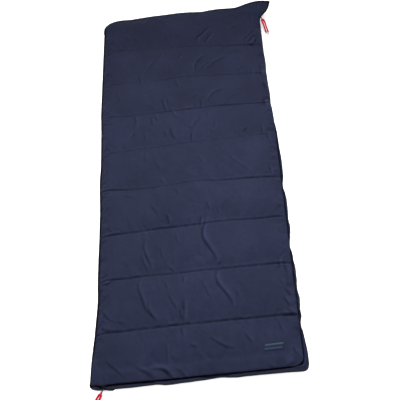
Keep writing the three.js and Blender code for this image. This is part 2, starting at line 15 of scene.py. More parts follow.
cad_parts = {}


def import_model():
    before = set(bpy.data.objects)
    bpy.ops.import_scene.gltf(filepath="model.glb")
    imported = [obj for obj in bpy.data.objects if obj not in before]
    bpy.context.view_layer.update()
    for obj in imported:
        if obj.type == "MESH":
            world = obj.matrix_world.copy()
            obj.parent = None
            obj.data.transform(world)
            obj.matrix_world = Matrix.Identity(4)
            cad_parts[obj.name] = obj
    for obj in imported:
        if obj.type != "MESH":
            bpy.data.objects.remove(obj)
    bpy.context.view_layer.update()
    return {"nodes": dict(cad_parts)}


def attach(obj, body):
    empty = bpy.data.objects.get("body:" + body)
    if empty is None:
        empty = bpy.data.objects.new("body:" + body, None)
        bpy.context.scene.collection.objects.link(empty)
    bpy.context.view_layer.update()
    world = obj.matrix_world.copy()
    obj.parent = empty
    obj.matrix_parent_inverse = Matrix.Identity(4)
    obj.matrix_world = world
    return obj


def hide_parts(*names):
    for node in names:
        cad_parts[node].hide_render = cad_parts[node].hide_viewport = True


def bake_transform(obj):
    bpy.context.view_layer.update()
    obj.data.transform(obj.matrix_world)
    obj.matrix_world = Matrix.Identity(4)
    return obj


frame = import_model()
MM = 0.001

HEM_Z = 35.8            # height of the front cloth's hem along the zip
HEM_OUT = 0.9           # how far that hem lies outside the zip line
MID_Z = 28.5            # height of the plane between the halves
CORNER_FOOT_X = 345.0   # where the zip's foot corner is set out from
CORNER_RADIUS = 30.0    # bend of the zip round the foot corner


# ---------------------------------------------------------------- small maths
def unit(value):
    return np.clip(value, 0, 1)


def bell(distance, width):
    return np.exp(-(distance / width) ** 2)


def line(table):
    """piecewise straight function through (input, output) points"""
    points = np.array(sorted(table), float)
    return lambda at: np.interp(at, points[:, 0], points[:, 1])


def soft_line(table, width):
    """the same, with its corners rounded over the given width"""
    base = line(table)
    offsets = np.linspace(-1, 1, 7) * width
    weights = np.cos(offsets / width * math.pi / 2) ** 2 + 0.02
    weights = weights / weights.sum()

    def value(at):
        at = np.asarray(at, float)
        return sum(weight * base(at + offset) for weight, offset in zip(weights, offsets))

    return value


def lengths_along(points):
    steps = np.linalg.norm(np.diff(points, axis=0), axis=1)
    return np.concatenate([[0], np.cumsum(steps)])


def resample(path, step=None, count=None):
    """evenly spaced points on a Catmull-Rom curve through the path"""
    path = np.asarray(path, float)
    padded = np.vstack([2 * path[0] - path[1], path, 2 * path[-1] - path[-2]])
    curve = []
    for before, start, end, after in zip(padded, padded[1:], padded[2:], padded[3:]):
        for t in np.linspace(0, 1, 24, endpoint=False):
            curve.append(0.5 * (2 * start + (end - before) * t
                                + (2 * before - 5 * start + 4 * end - after) * t * t
                                + (3 * start - before - 3 * end + after) * t ** 3))
    curve.append(path[-1])
    curve = np.array(curve)
    length = lengths_along(curve)
    if count is None:
        count = max(2, int(round(length[-1] / step)) + 1)
    even = np.linspace(0, length[-1], count)
    return np.stack([np.interp(even, length, column) for column in curve.T], 1)


def sample(path, t):
    """points at fractions t of an evenly spaced path"""
    stations = np.linspace(0, 1, len(path))
    return np.stack([np.interp(t, stations, column) for column in path.T], 1)


def noise(x, y, scale, seed, octaves=2):
    """smooth value noise in -1..1, on a lattice of the given spacing"""
    x = np.asarray(x, float)
    y = np.asarray(y, float)
    out = np.zeros(np.broadcast(x, y).shape)
    strength, total = 1.0, 0.0
    random = np.random.RandomState(seed)
    for octave in range(octaves):
        table = random.uniform(-1, 1, (257, 257))
        cell_x = (x + 3000) / (scale / 2 ** octave)
        cell_y = (y + 3000) / (scale / 2 ** octave)
        i, j = np.floor(cell_x).astype(int), np.floor(cell_y).astype(int)
        blend_x, blend_y = cell_x - i, cell_y - j
        blend_x = blend_x * blend_x * (3 - 2 * blend_x)
        blend_y = blend_y * blend_y * (3 - 2 * blend_y)

        def across(row):
            return (table[i % 257, row % 257] * (1 - blend_x)
                    + table[(i + 1) % 257, row % 257] * blend_x)

        out = out + strength * (across(j) * (1 - blend_y) + across(j + 1) * blend_y)
        total += strength
        strength *= 0.5
    return out / total


# ---------------------------------------------------------------- measured lines
def zip_x(y):
    """line of the zip along the +X side"""
    return 378.0 + (np.asarray(y, float) - 866.0) * 32 / 1764


def zip_y(x):
    """line of the zip along the foot"""
    return -947.0 + (np.asarray(x, float) + 338.0) * 18 / 656


CORNER_Y = float(zip_y(CORNER_FOOT_X)) + CORNER_RADIUS
CORNER_X = float(zip_x(CORNER_Y)) - CORNER_RADIUS

# sewn side, where the piping runs: (y, x)
left_x = soft_line([
    (950, -379), (835, -379.2), (749, -379), (666, -376.6), (506, -377.2), (429, -376),
    (282, -374.6), (211, -371), (142, -369.3), (9, -366.6), (-54, -368.2), (-116, -367),
    (-177, -364.6), (-236, -362), (-351, -361), (-459, -361.2), (-563, -360.5), (-614, -357.4),
    (-662, -358.4), (-710, -361.3), (-757, -363.2), (-803, -367.2), (-847, -370.4),
    (-891, -372.5), (-934, -374), (-960, -375)], width=30)
# outermost line of the back half's edge roll on the zip side: (y, x)
roll_x = soft_line([
    (960, 386), (900, 385), (860, 382), (800, 377), (760, 374.5), (713, 371), (672, 367.5),
    (630, 373.2), (589, 376), (548, 377.8), (509, 375), (470, 373.7), (431, 374.9), (394, 373.8),
    (356, 376.7), (319, 374.9), (283, 371.8), (246, 377), (176, 377.7), (141, 379.6), (107, 382),
    (40, 381.4), (-25, 383.9), (-89, 381.8), (-120, 379.9), (-150, 372.6), (-180, 372.4),
    (-210, 378.6), (-240, 379.8), (-269, 379.1), (-298, 377.1), (-326, 373.8), (-355, 377.8),
    (-383, 375.9), (-410, 371.1), (-437, 366), (-464, 365.6), (-491, 371.3), (-517, 370.9),
    (-543, 375.4), (-569, 373.7), (-594, 372.9), (-619, 369.8), (-644, 369.5), (-669, 374),
    (-693, 372), (-717, 368.6), (-741, 371.4), (-764, 363.6), (-787, 363.3), (-810, 368.3),
    (-833, 370.3), (-878, 373.5), (-922, 372.8), (-960, 372)], width=8)
# outermost line of the back half's edge roll along the foot: (x, y)
roll_y = soft_line([
    (-390, -954), (-370, -956.5), (-352, -960.5), (-325, -961), (-285, -959.2), (-230, -958.8),
    (-203, -957.1), (-175, -955.6), (-148, -954), (-121, -959), (-93, -958.3), (-66, -955.4),
    (-39, -954.6), (-11, -952.2), (16, -951.1), (43, -947.7), (71, -945.4), (98, -948.6),
    (125, -950.5), (152, -948.5), (207, -947.1), (288, -945.8), (343, -946.3), (390, -946)],
    width=10)

# quilting rows from the mouth to the foot: (x, y) along each
ROWS_BELOW = [
    [(-349, 702), (-239, 691), (-93, 687), (51, 685), (171, 673), (291, 665), (350, 661)],
    [(-343, 472), (-191, 470), (-97, 478), (-4, 488), (88, 480), (181, 479), (297, 471),
     (355, 469)],
    [(-349, 276), (-259, 270), (-146, 275), (-34, 281), (33, 285), (146, 291), (236, 289),
     (314, 286)],
    [(-340, 66), (-268, 69), (-192, 78), (-127, 78), (-40, 87), (14, 93), (339, 102)],
    [(-354, -123), (-255, -133), (-151, -133), (-68, -126), (15, -115), (118, -122),
     (212, -120), (315, -123)],
    [(-348, -347), (-273, -342), (-193, -336), (-93, -331), (5, -327), (145, -320),
     (244, -323), (324, -319)],
    [(-346, -546), (-270, -545), (-175, -539), (-79, -540), (15, -535), (91, -534),
     (177, -531), (300, -529)],
    [(-344, -758), (-267, -758), (-194, -753), (-122, -750), (-49, -747), (23, -747),
     (114, -743), (204, -743), (295, -739)]]
# The rows are listed on a plane below the cloth, and moved up to it along the camera's view.
ROW_DROP, VIEW_Y, VIEW_Z = 15.0, -1888, 2333
ROW_LINES = [soft_line([(x, y - ROW_DROP * (y - VIEW_Y) / VIEW_Z) for x, y in row], width=40)
             for row in ROWS_BELOW]
# how firmly each row is drawn in: (x, pull)
ROW_PULL = [line(table) for table in (
    [(-375, 0.5), (-250, 0.3), (-100, 0.15), (60, 0.4), (200, 0.6), (330, 0.6)],
    [(-375, 0.25), (-200, 0.1), (-60, 0.35), (120, 0.45), (330, 0.45)],
    [(-375, 0.4), (-220, 0.3), (-60, 0.38), (60, 0.48), (180, 0.65), (330, 0.6)],
    [(-375, 0.3), (-200, 0.15), (0, 0.3), (120, 0.05), (330, 0.2)],
    [(-375, 0.8), (-220, 0.55), (-60, 0.3), (60, 0.34), (180, 0.65), (330, 0.8)],
    [(-375, 1.0), (-200, 1.0), (0, 0.8), (100, 0.45), (220, 0.65), (330, 0.7)],
    [(-375, 0.8), (-250, 0.8), (-100, 0.6), (60, 0.5), (200, 0.7), (330, 0.75)],
    [(-375, 1.0), (-200, 1.0), (0, 0.95), (200, 1.0), (330, 1.05)])]

# front half's mouth edge, from the corner on the sewn side to the tip of the free corner: xyz
MOUTH = np.array([
    (-379.5, 835, 28.5), (-379, 858, 28.8), (-375.5, 877, 29), (-365, 894, 29.3),
    (-347, 908, 29.6), (-319, 917.5, 30.5), (-291, 920, 31.3), (-246, 918.5, 32.6),
    (-201, 922, 34), (-142, 926.5, 35.6), (-82, 928.5, 36.2), (-23, 932, 36.8), (37, 931, 37.4),
    (96, 925.6, 38), (140, 931, 38.4), (185, 934, 38.9), (244, 931.5, 39.5), (273, 932.8, 41),
    (304, 940.5, 45), (334, 947, 49.5), (364, 951, 52.3), (393, 951, 53.7), (420, 945.5, 54),
    (436, 940, 54)], float)
CORNER_END = 5          # index where the rounded corner ends and the straight mouth starts
# zip-side edge of the free corner, up to its tip: xyz
FLAP_EDGE = np.array([
    (377.2, 790, 35.9), (377.6, 822, 36.3), (379.5, 840, 37.6), (384, 851.5, 39.5),
    (394, 862.5, 42), (404, 872.5, 45), (414, 884, 47), (424, 904, 50), (429.5, 920, 52.5),
    (436, 940, 54)], float)


def row_distance(x, y):
    """distance along Y to the nearest quilting row"""
    return np.min([np.abs(y - row(x)) for row in ROW_LINES], axis=0)


def crease_x(y):
    """where shell and lining meet on the sewn side"""
    return np.maximum(left_x(y), -375.2) + 1.6


def back_mouth_y(x):
    mouth = MOUTH[CORNER_END:]
    drawn_in = 8 * unit((np.asarray(x, float) - 290) / 60) ** 2
    return np.interp(x, mouth[:, 0], mouth[:, 1] - 1.0) - drawn_in


def head_left_x(y):
    """sewn-side edge, carried on round the corner of the mouth"""
    corner = MOUTH[:CORNER_END + 1]
    y = np.asarray(y, float)
    return np.where(y < 835, crease_x(y), np.interp(y, corner[:, 1], corner[:, 0] + 3.2))


def zip_side(x, y):
    """distance inside the zip line, the direction out of it, and masks of corner and foot"""
    corner = (x > CORNER_X) & (y < CORNER_Y)
    radius = np.hypot(x - CORNER_X, y - CORNER_Y) + 1e-6
    from_side, from_foot = zip_x(y) - x, y - zip_y(x)
    foot = from_foot < from_side
    inset = np.where(corner, CORNER_RADIUS - radius, np.where(foot, from_foot, from_side))
    out_x = np.where(corner, (x - CORNER_X) / radius, np.where(foot, 0.0, 1.0))
    out_y = np.where(corner, (y - CORNER_Y) / radius, np.where(foot, -1.0, 0.0))
    return inset, out_x, out_y, corner, foot


# ---------------------------------------------------------------- mesh helpers
def new_object(name, verts, faces):
    mesh = bpy.data.meshes.new(name)
    corners = [list(map(int, face)) for face in faces]
    mesh.from_pydata((np.asarray(verts, float) * MM).tolist(), [], corners)
    mesh.update()
    mesh.polygons.foreach_set("use_smooth", [True] * len(mesh.polygons))
    obj = bpy.data.objects.new(name, mesh)
    bpy.context.scene.collection.objects.link(obj)
    return obj


def grid_faces(rows, columns, wrap_u=False, wrap_v=False, flip=False, base=0):
    faces = []
    for j in range(rows if wrap_v else rows - 1):
        here, above = base + j * columns, base + (j + 1) % rows * columns
        for i in range(columns if wrap_u else columns - 1):
            k = (i + 1) % columns
            if flip:
                faces.append((here + i, above + i, above + k, here + k))
            else:
                faces.append((here + i, here + k, above + k, above + i))
    return faces


def grid_object(name, grid, wrap_v=False, flip=False):
    rows, columns, _ = grid.shape
    faces = grid_faces(rows, columns, wrap_v=wrap_v, flip=flip)
    obj = new_object(name, grid.reshape(-1, 3), faces)
    obj.data.uv_layers.new(name="uv")
    return obj


def slab_object(name, top, bottom):
    """a closed sheet between two grids of the same size"""
    rows, columns, _ = top.shape
    under = rows * columns
    faces = grid_faces(rows, columns) + grid_faces(rows, columns, flip=True, base=under)
    for i in range(columns - 1):
        k = (rows - 1) * columns + i
        faces.append((i, under + i, under + i + 1, i + 1))
        faces.append((k, k + 1, under + k + 1, under + k))
    for j in range(rows - 1):
        i = j * columns
        k = i + columns - 1
        faces.append((i, i + columns, under + i + columns, under + i))
        faces.append((k, under + k, under + k + columns, k + columns))
    return new_object(name, np.concatenate([top.reshape(-1, 3), bottom.reshape(-1, 3)]), faces)


def capped(rings, ends, flip=True):
    """vertices and faces of a tube through the rings, closed by a fan at each end point"""
    count, around, _ = rings.shape
    faces = grid_faces(count, around, wrap_u=True, flip=flip)
    last, tip = (count - 1) * around, count * around
    for i in range(around):
        k = (i + 1) % around
        for cap, a, b in ((tip, i, k), (tip + 1, last + k, last + i)):
            faces.append((cap, a, b) if flip else (cap, b, a))
    return np.vstack([rings.reshape(-1, 3), ends]), faces


def ring_angles(count):
    return np.linspace(0, 2 * math.pi, count, endpoint=False)


def circle(count):
    return np.stack([np.cos(ring_angles(count)), np.sin(ring_angles(count))], 1)


def rounded_square(count, power):
    """a circle squared up by raising its coordinates to a power below 1"""
    shape = circle(count)
    return np.sign(shape) * np.abs(shape) ** power


def side_vectors(path, up=(0, 0, 1)):
    """two unit vectors across the path at each point"""
    forward = np.gradient(path, axis=0)
    forward /= np.linalg.norm(forward, axis=1)[:, None] + 1e-12
    side = np.cross(forward, np.asarray(up, float))
    upright = np.linalg.norm(side, axis=1) < 1e-3
    side[upright] = np.cross(forward[upright], (0, 1, 0.01))
    side /= np.linalg.norm(side, axis=1)[:, None]
    return side, np.cross(side, forward)


def tube(path, radius, section, up=(0, 0, 1)):
    path = np.asarray(path, float)
    side, above = side_vectors(path, up)
    radius = np.broadcast_to(np.asarray(radius, float), (len(path),))
    rings = path[:, None, :] + radius[:, None, None] * (
        section[None, :, 0, None] * side[:, None, :]
        + section[None, :, 1, None] * above[:, None, :])
    return capped(rings, path[[0, -1]])


def merged_object(name, parts):
    verts, faces, base = [], [], 0
    for part_verts, part_faces in parts:
        verts.append(part_verts)
        faces += [tuple(base + k for k in face) for face in part_faces]
        base += len(part_verts)
    return new_object(name, np.vstack(verts), faces)


def tree_of(grid, wrap_v=False):
    rows, columns, _ = grid.shape
    faces = grid_faces(rows, columns, wrap_v=wrap_v)
    return BVHTree.FromPolygons([tuple(point) for point in grid.reshape(-1, 3)], faces)


def surface_z(tree, x, y, default=None, below=False):
    """height of the first surface met from above, or from below"""
    start, direction = (-100, 1) if below else (200, -1)
    hit = tree.ray_cast(Vector((x, y, start)), Vector((0, 0, direction)))[0]
    return default if hit is None else hit.z


def refine(grid):
    """doubles a grid with cubic interpolation in both directions"""
    def double(values):
        count = len(values)
        padded = np.concatenate([2 * values[:1] - values[1:2], values,
                                 2 * values[-1:] - values[-2:-1]])
        out = np.empty((2 * count - 1,) + values.shape[1:])
        out[0::2] = values
        out[1::2] = (-padded[:-3] + 9 * padded[1:-2] + 9 * padded[2:-1] - padded[3:]) / 16
        return out
    return np.swapaxes(double(np.swapaxes(double(grid), 0, 1)), 0, 1)


def grid_normals(grid):
    normals = np.cross(np.gradient(grid, axis=1), np.gradient(grid, axis=0))
    return normals / (np.linalg.norm(normals, axis=2)[:, :, None] + 1e-9)


def set_painted_shading(obj, values):
    """how much lighter or darker the cloth is painted: painted shade and highlight in creases, seams
    and shaded edges, with random mottle; read by the cloth materials
    """
    painted_shading_and_mottle = obj.data.attributes.new("painted_shading_and_mottle", "FLOAT", "POINT")
    clipped = np.clip(values, -1.5, 1.5).ravel()
    painted_shading_and_mottle.data.foreach_set("value", np.ascontiguousarray(clipped, dtype=np.float32))


def paint(obj, material):
    obj.data.materials.clear()
    obj.data.materials.append(material)


def place(obj, material, slot, *replaces, body=None, blend=None):
    """paints a piece, hides the frame parts it stands in for and hangs it on the body that carries
    it
    """
    paint(obj, material)
    if body:
        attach(obj, body)
    if replaces:
        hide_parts(*replaces)
    if blend:
        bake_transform(obj)


# ---------------------------------------------------------------- materials
class Shader:
    """a material with one Principled surface; node inputs take a value or a socket"""

    def __init__(self, name):
        self.material = bpy.data.materials.new(name)
        self.material.use_nodes = True
        self.tree = self.material.node_tree
        for old in list(self.tree.nodes):
            self.tree.nodes.remove(old)
        output = self.add("OutputMaterial", {})
        self.principled = self.add("BsdfPrincipled", {})
        self.fill(output, {0: self.principled.outputs[0]})

    def fill(self, node, inputs):
        for key, value in inputs.items():
            if isinstance(value, bpy.types.NodeSocket):
                self.tree.links.new(value, node.inputs[key])
            else:
                node.inputs[key].default_value = value

    def add(self, kind, inputs, **settings):
        node = self.tree.nodes.new("ShaderNode" + kind)
        for key, value in settings.items():
            setattr(node, key, value)
        self.fill(node, inputs)
        return node

    def surface(self, inputs):
        self.fill(self.principled, inputs)

    def position(self):
        return self.add("TexCoord", {}).outputs["Object"]

    def noise(self, vector, scale, detail=2.0, distortion=0.0):
        inputs = {"Vector": vector, "Scale": scale, "Detail": detail, "Distortion": distortion}
        return self.add("TexNoise", inputs).outputs["Fac"]

    def wave(self, vector, direction, inputs):
        inputs = {"Vector": vector, **inputs}
        return self.add("TexWave", inputs, bands_direction=direction).outputs["Fac"]

    def math(self, operation, first, second, clamp=False):
        inputs = {0: first, 1: second}
        return self.add("Math", inputs, operation=operation, use_clamp=clamp).outputs[0]

    def mix(self, factor, first, second):
        inputs = {0: factor, 6: first, 7: second}
        return self.add("Mix", inputs, data_type="RGBA", blend_type="MIX").outputs[2]

    def spread(self, value, from_min=0.0, from_max=1.0, to_min=0.0, to_max=1.0):
        return self.add("MapRange", {"Value": value, "From Min": from_min, "From Max": from_max,
                                     "To Min": to_min, "To Max": to_max}).outputs[0]

    def bump(self, height, strength, distance, below=None):
        inputs = {"Height": height, "Strength": strength, "Distance": distance}
        if below:
            inputs["Normal"] = below
        return self.add("Bump", inputs).outputs[0]


def srgb(colour):
    def linear(value):
        value = value / 255
        return value / 12.92 if value <= 0.04045 else ((value + 0.055) / 1.055) ** 2.4
    return tuple(linear(value) for value in colour) + (1.0,)


PAINTED_SHADING_LIMIT, PAINTED_SHADING_GAIN = 1.5, 0.52   # range of the painted shading attribute, and its share of the colour


def cloth_material(name, dark, mid, light, rough, sheen, weave=0.45, bump=0.25, streak=0.5,
                   wrinkle=0.5):
    """crossed threads for bump and colour, long streaks along the cloth, slow shade changes, and
    painted shade and highlight read from the mesh
    """
    dark, mid, light = srgb(dark), srgb(mid), srgb(light)
    shader = Shader(name)
    position = shader.position()
    shade = shader.noise(position, scale=6.0, detail=3)
    stretched = shader.add("Mapping", {"Scale": (160, 9, 30), "Vector": position}).outputs[0]
    streaks = shader.noise(stretched, scale=1.0, detail=2)
    wave = {"Scale": 420 * weave / 0.45, "Distortion": 0.6, "Detail": 1}
    warp = shader.wave(position, "X", wave)
    weft = shader.wave(position, "Y", wave)
    threads = shader.math("MULTIPLY", warp, weft)
    shade = shader.math("MULTIPLY", shade, 1.0)
    shade = shader.spread(shade, from_min=0.3, from_max=0.7)
    colour = shader.mix(0.55, shader.mix(shade, dark, light), mid)
    streak_gain = shader.spread(streaks, from_min=0.35, from_max=0.65,
                                to_min=1 - 0.16 * streak, to_max=1 + 0.16 * streak)
    thread_gain = shader.spread(threads, to_min=0.9, to_max=1.08)
    gain = shader.math("MULTIPLY", streak_gain, thread_gain)
    # painted shade and highlight: the mesh attribute darkens creases, seams and shaded edges,
    # lightens the lips beside them, and adds random mottle
    painted_shading_and_mottle = shader.add("Attribute", {}, attribute_type="GEOMETRY", attribute_name="painted_shading_and_mottle")
    painted_shading_gain = shader.spread(painted_shading_and_mottle.outputs["Fac"], from_min=-PAINTED_SHADING_LIMIT, from_max=PAINTED_SHADING_LIMIT,
                              to_min=1 - PAINTED_SHADING_LIMIT * PAINTED_SHADING_GAIN,
                              to_max=1 + PAINTED_SHADING_LIMIT * PAINTED_SHADING_GAIN)
    gain = shader.math("MULTIPLY", gain, painted_shading_gain)
    scaled = shader.add("VectorMath", {0: colour, "Scale": gain}, operation="SCALE")
    roughness = shader.spread(streaks, to_min=rough - 0.06, to_max=rough + 0.08)
    wrinkles = shader.noise(position, scale=38.0, detail=3, distortion=0.8)
    soft = shader.bump(wrinkles, strength=wrinkle, distance=0.004)
    shader.surface({
        "Base Color": scaled.outputs[0],
        "Roughness": roughness,
        "Sheen Weight": sheen,
        "Sheen Roughness": 0.45,
        "Sheen Tint": tuple(min(1, channel * 6) for channel in mid[:3]) + (1,),
        "Specular IOR Level": 0.035,
        "Normal": shader.bump(threads, strength=bump, distance=0.0006, below=soft)})
    return shader.material


def hard_material(name, base, edge, rough, metallic, specular, scratch=0.3, coat=0.0):
    """metal or plastic, lighter where its edges are worn"""
    shader = Shader(name)
    grain = shader.noise(shader.position(), scale=220, detail=4)
    geometry = shader.add("NewGeometry", {})
    wear = shader.spread(geometry.outputs["Pointiness"], from_min=0.5, from_max=0.62)
    wear = shader.math("MULTIPLY", wear, grain, clamp=True)
    shader.surface({
        "Base Color": shader.mix(wear, srgb(base), srgb(edge)),
        "Roughness": shader.spread(grain, to_min=max(0.05, rough - 0.1), to_max=rough + 0.14),
        "Metallic": metallic,
        "Specular IOR Level": specular,
        "Coat Weight": coat,
        "Normal": shader.bump(grain, strength=scratch, distance=0.0002)})
    return shader.material


def cord_material(name, dark, light):
    """braided strands; the braid mixes a shaded and a lit colour of the cord, painted shade between
    the strands, with random fuzz
    """
    shader = Shader(name)
    position = shader.position()
    first = shader.wave(position, "DIAGONAL", {"Scale": 150, "Distortion": 1.2})
    second = shader.wave(position, "Y", {"Scale": 190, "Distortion": 1.0})
    braid = shader.math("MULTIPLY", first, second)
    fuzz = shader.math("MULTIPLY", shader.noise(position, scale=900), 0.3)
    shade = shader.math("ADD", braid, fuzz, clamp=True)
    shader.surface({
        "Base Color": shader.mix(shade, srgb(dark), srgb(light)),
        "Roughness": 0.65,
        "Specular IOR Level": 0.06,
        "Normal": shader.bump(braid, strength=0.6, distance=0.0008)})
    return shader.material


SHELL = cloth_material("shell_cloth", dark=(21, 24, 39), mid=(25, 28, 45.5),
                       light=(30, 33.5, 53), sheen=0.02, rough=0.7, streak=0.28)
BACK_SHELL = cloth_material("back_shell_cloth", dark=(21, 24, 39), mid=(25, 28, 45.5),
                            light=(30, 33, 52), sheen=0.02, rough=0.7, streak=0.25)
LINING = cloth_material("lining_cloth", dark=(70, 76, 92), mid=(82, 88, 104),
                        light=(96, 101, 116), sheen=0.5, rough=0.85, streak=0.2, bump=0.35,
                        wrinkle=0.35)
TRIM = cloth_material("trim_cloth", dark=(4, 4, 8), mid=(6, 6, 11), light=(9, 9, 15),
                      sheen=0.0, rough=0.7, streak=0.2, weave=0.7, bump=0.4)
TAPE = cloth_material("tape_cloth", dark=(10, 11, 18), mid=(13, 14, 23), light=(18, 19, 30),
                      sheen=0.04, rough=0.75, streak=0.1, weave=0.9, bump=0.5)
THREAD = cord_material("thread", dark=(22, 25, 40), light=(31, 34, 54))
BATTING = cloth_material("batting", dark=(214, 212, 205), mid=(228, 226, 220),
                         light=(238, 237, 233), sheen=0.6, rough=0.95, bump=0.8, wrinkle=0.9)
METAL = hard_material("black_metal", base=(13, 13, 16), edge=(40, 41, 46), rough=0.5,
                      metallic=0.1, specular=0.14)
COIL = hard_material("coil_nylon", base=(24, 25, 33), edge=(50, 52, 62), rough=0.4,
                     metallic=0.0, specular=0.25, scratch=0.1)
# dark is the cord's red in shade and light its lit red: painted shade and light mixed by the braid
CORD = cord_material("red_cord", dark=(116, 0, 20), light=(206, 2, 46))
CORD_END = hard_material("pale_plastic", base=(168, 160, 150), edge=(205, 199, 190),
                         rough=0.45, metallic=0.0, specular=0.5, scratch=0.25, coat=0.2)
LABEL_CLOTH = dict(sheen=0.03, rough=0.7, bump=0.6, streak=0.1)
LABEL = cloth_material("label_cloth", dark=(22, 25, 42), mid=(27, 30, 50),
                       light=(32, 36, 58), weave=0.8, **LABEL_CLOTH)
STRIPE = cloth_material("label_stripe", dark=(39, 56, 58), mid=(45, 64, 65),
                        light=(52, 72, 70), weave=0.9, **LABEL_CLOTH)
DIM_STRIPE = cloth_material("label_stripe_dim", dark=(36, 50, 60), mid=(42, 58, 68),
                            light=(50, 66, 74), weave=0.9, **LABEL_CLOTH)

# ---------------------------------------------------------------- front half's base grid
PANEL_ROWS = [26, 22, 22, 22, 22, 22, 22, 22, 30]   # mesh rows in each panel, foot to mouth
PANEL_COLUMNS = 104
LAST_PANEL = 8


def row_height(x, i):
    """height of the front cloth along quilting row i"""
    y = ROW_LINES[i](0.0)
    from_left = np.maximum(x - crease_x(y), 0)
    from_right = np.maximum(zip_x(y) - x, 0)
    z = 56.0 - 9.0 * ROW_PULL[i](x) + 0.8 * noise(x, i * 300.0, scale=60, seed=11 + i)
    return (z - (z - 29.4) * np.exp(-from_left / 17.0)
            - (z - 36.2) * np.exp(-from_right / 9.0))


def foot_right_x(y):
    """the front hem in plan on the zip side, down round the foot corner"""
    y = np.asarray(y, float)
    side = zip_x(y) + HEM_OUT
    radius = CORNER_RADIUS + HEM_OUT
    drop = np.clip(CORNER_Y - y, 0, 30.4)
    arc = side - radius + np.sqrt(np.maximum(radius ** 2 - drop ** 2, 0))
    return np.where(y < CORNER_Y, arc, side)


def row_curve(k, across):
    """line k over the front: 0 is the foot hem, 1..8 the rows from the foot up, 9 the mouth"""
    if k == 0:
        left = crease_x(-947.0) + 0.5
        x = left + (CORNER_FOOT_X - CORNER_RADIUS + 7 - left) * across
        return np.stack([x, zip_y(x) - HEM_OUT, HEM_Z - 5.5 * np.exp(-(x - left) / 5.0)], 1)
    if k == 9:
        return sample(resample(MOUTH[CORNER_END:], count=400), across)
    row = ROW_LINES[8 - k]
    left = crease_x(row(-370.0))
    x = left + (zip_x(row(360.0)) + HEM_OUT - left) * across
    return np.stack([x, row(x), row_height(x, 8 - k)], 1)


def left_edge(k, t):
    start, end = row_curve(k, np.array([0.0]))[0], row_curve(k + 1, np.array([0.0]))[0]
    if k == LAST_PANEL:
        straight = [(crease_x(y), y, 29.3) for y in (760.0, 835.0)]
        corner = MOUTH[1:CORNER_END + 1] + (2.5, 0, 0.5)
        path = resample(np.vstack([[start], straight, corner]), count=300)
        path[-1] = MOUTH[CORNER_END]
        return sample(path, t)
    y = start[1] + (end[1] - start[1]) * t
    return np.stack([crease_x(y), y, 29.4 + 0 * y], 1)


def right_edge(k, t):
    start, end = row_curve(k, np.array([1.0]))[0], row_curve(k + 1, np.array([1.0]))[0]
    if k == LAST_PANEL:
        straight = (zip_x(730) + HEM_OUT, 730, HEM_Z)
        return sample(resample(np.vstack([[start], [straight], FLAP_EDGE]), count=300), t)
    y = start[1] + (end[1] - start[1]) * t
    x = foot_right_x(y) if k == 0 else zip_x(y) + HEM_OUT
    return np.stack([x, y, HEM_Z + 0 * y], 1)


def panel_stations(count):
    even = np.linspace(0, 1, count + 1)
    return even - 0.03 * np.sin(2 * math.pi * even)


def front_grid(columns, panel_rows):
    """grid over the front half, the mesh row of each quilting row, and the column stations"""
    across = np.linspace(0, 1, columns)
    across = across - 0.055 * np.sin(2 * math.pi * across)      # finer towards both edges
    grid, row_indices = [], []
    for k, count in enumerate(panel_rows):
        bottom, top = row_curve(k, across), row_curve(k + 1, across)
        stations = panel_stations(count)
        left, right = left_edge(k, stations), right_edge(k, stations)
        for j, t in enumerate(stations):
            if j == 0 and k > 0:
                continue
            points = (1 - t) * bottom + t * top
            points = (points + np.outer(1 - across, left[j] - points[0])
                      + np.outer(across, right[j] - points[-1]))
            grid.append(points)
        row_indices.append(len(grid) - 1)
    return np.array(grid), row_indices[:-1], across


def puffed(grid, height, edge):
    """the grid with each panel lofted over its outline"""
    t = np.concatenate([[0.0]] + [panel_stations(count)[1:] for count in PANEL_ROWS])[:, None]
    panel = np.concatenate([[0]] + [[k] * n for k, n in enumerate(PANEL_ROWS)])[:, None]
    loft = unit(np.sin(unit(t) * math.pi)) ** 0.62
    foot = np.minimum(1, (t / 0.24) ** 0.5) * np.minimum(1, (1 - t) / 0.4) ** 0.6
    mouth = np.minimum(1, t / 0.33) ** 0.6 * np.minimum(1, (1 - t) / 0.33) ** 0.6
    loft = np.where(panel == 0, foot, np.where(panel == LAST_PANEL, mouth, loft))
    x = grid[:, :, 0]
    sides = (np.minimum(1, (x - x[:, :1]) / edge) ** 0.5
             * np.minimum(1, (x[:, -1:] - x) / edge) ** 0.5)
    out = grid.copy()
    out[:, :, 2] += height * loft * sides
    return out


# ---------------------------------------------------------------- settling the front cloth
CLOTH_FRAMES = 20
CLOTH_SETTINGS = dict(
    quality=5, mass=0.15,
    tension_stiffness=30, compression_stiffness=12, shear_stiffness=6, bending_stiffness=0.25,
    tension_damping=12, compression_damping=12, shear_damping=8, bending_damping=0.5,
    air_damping=6, use_pressure=True, uniform_pressure_force=1.2,
    shrink_min=-0.010, shrink_max=-0.010)


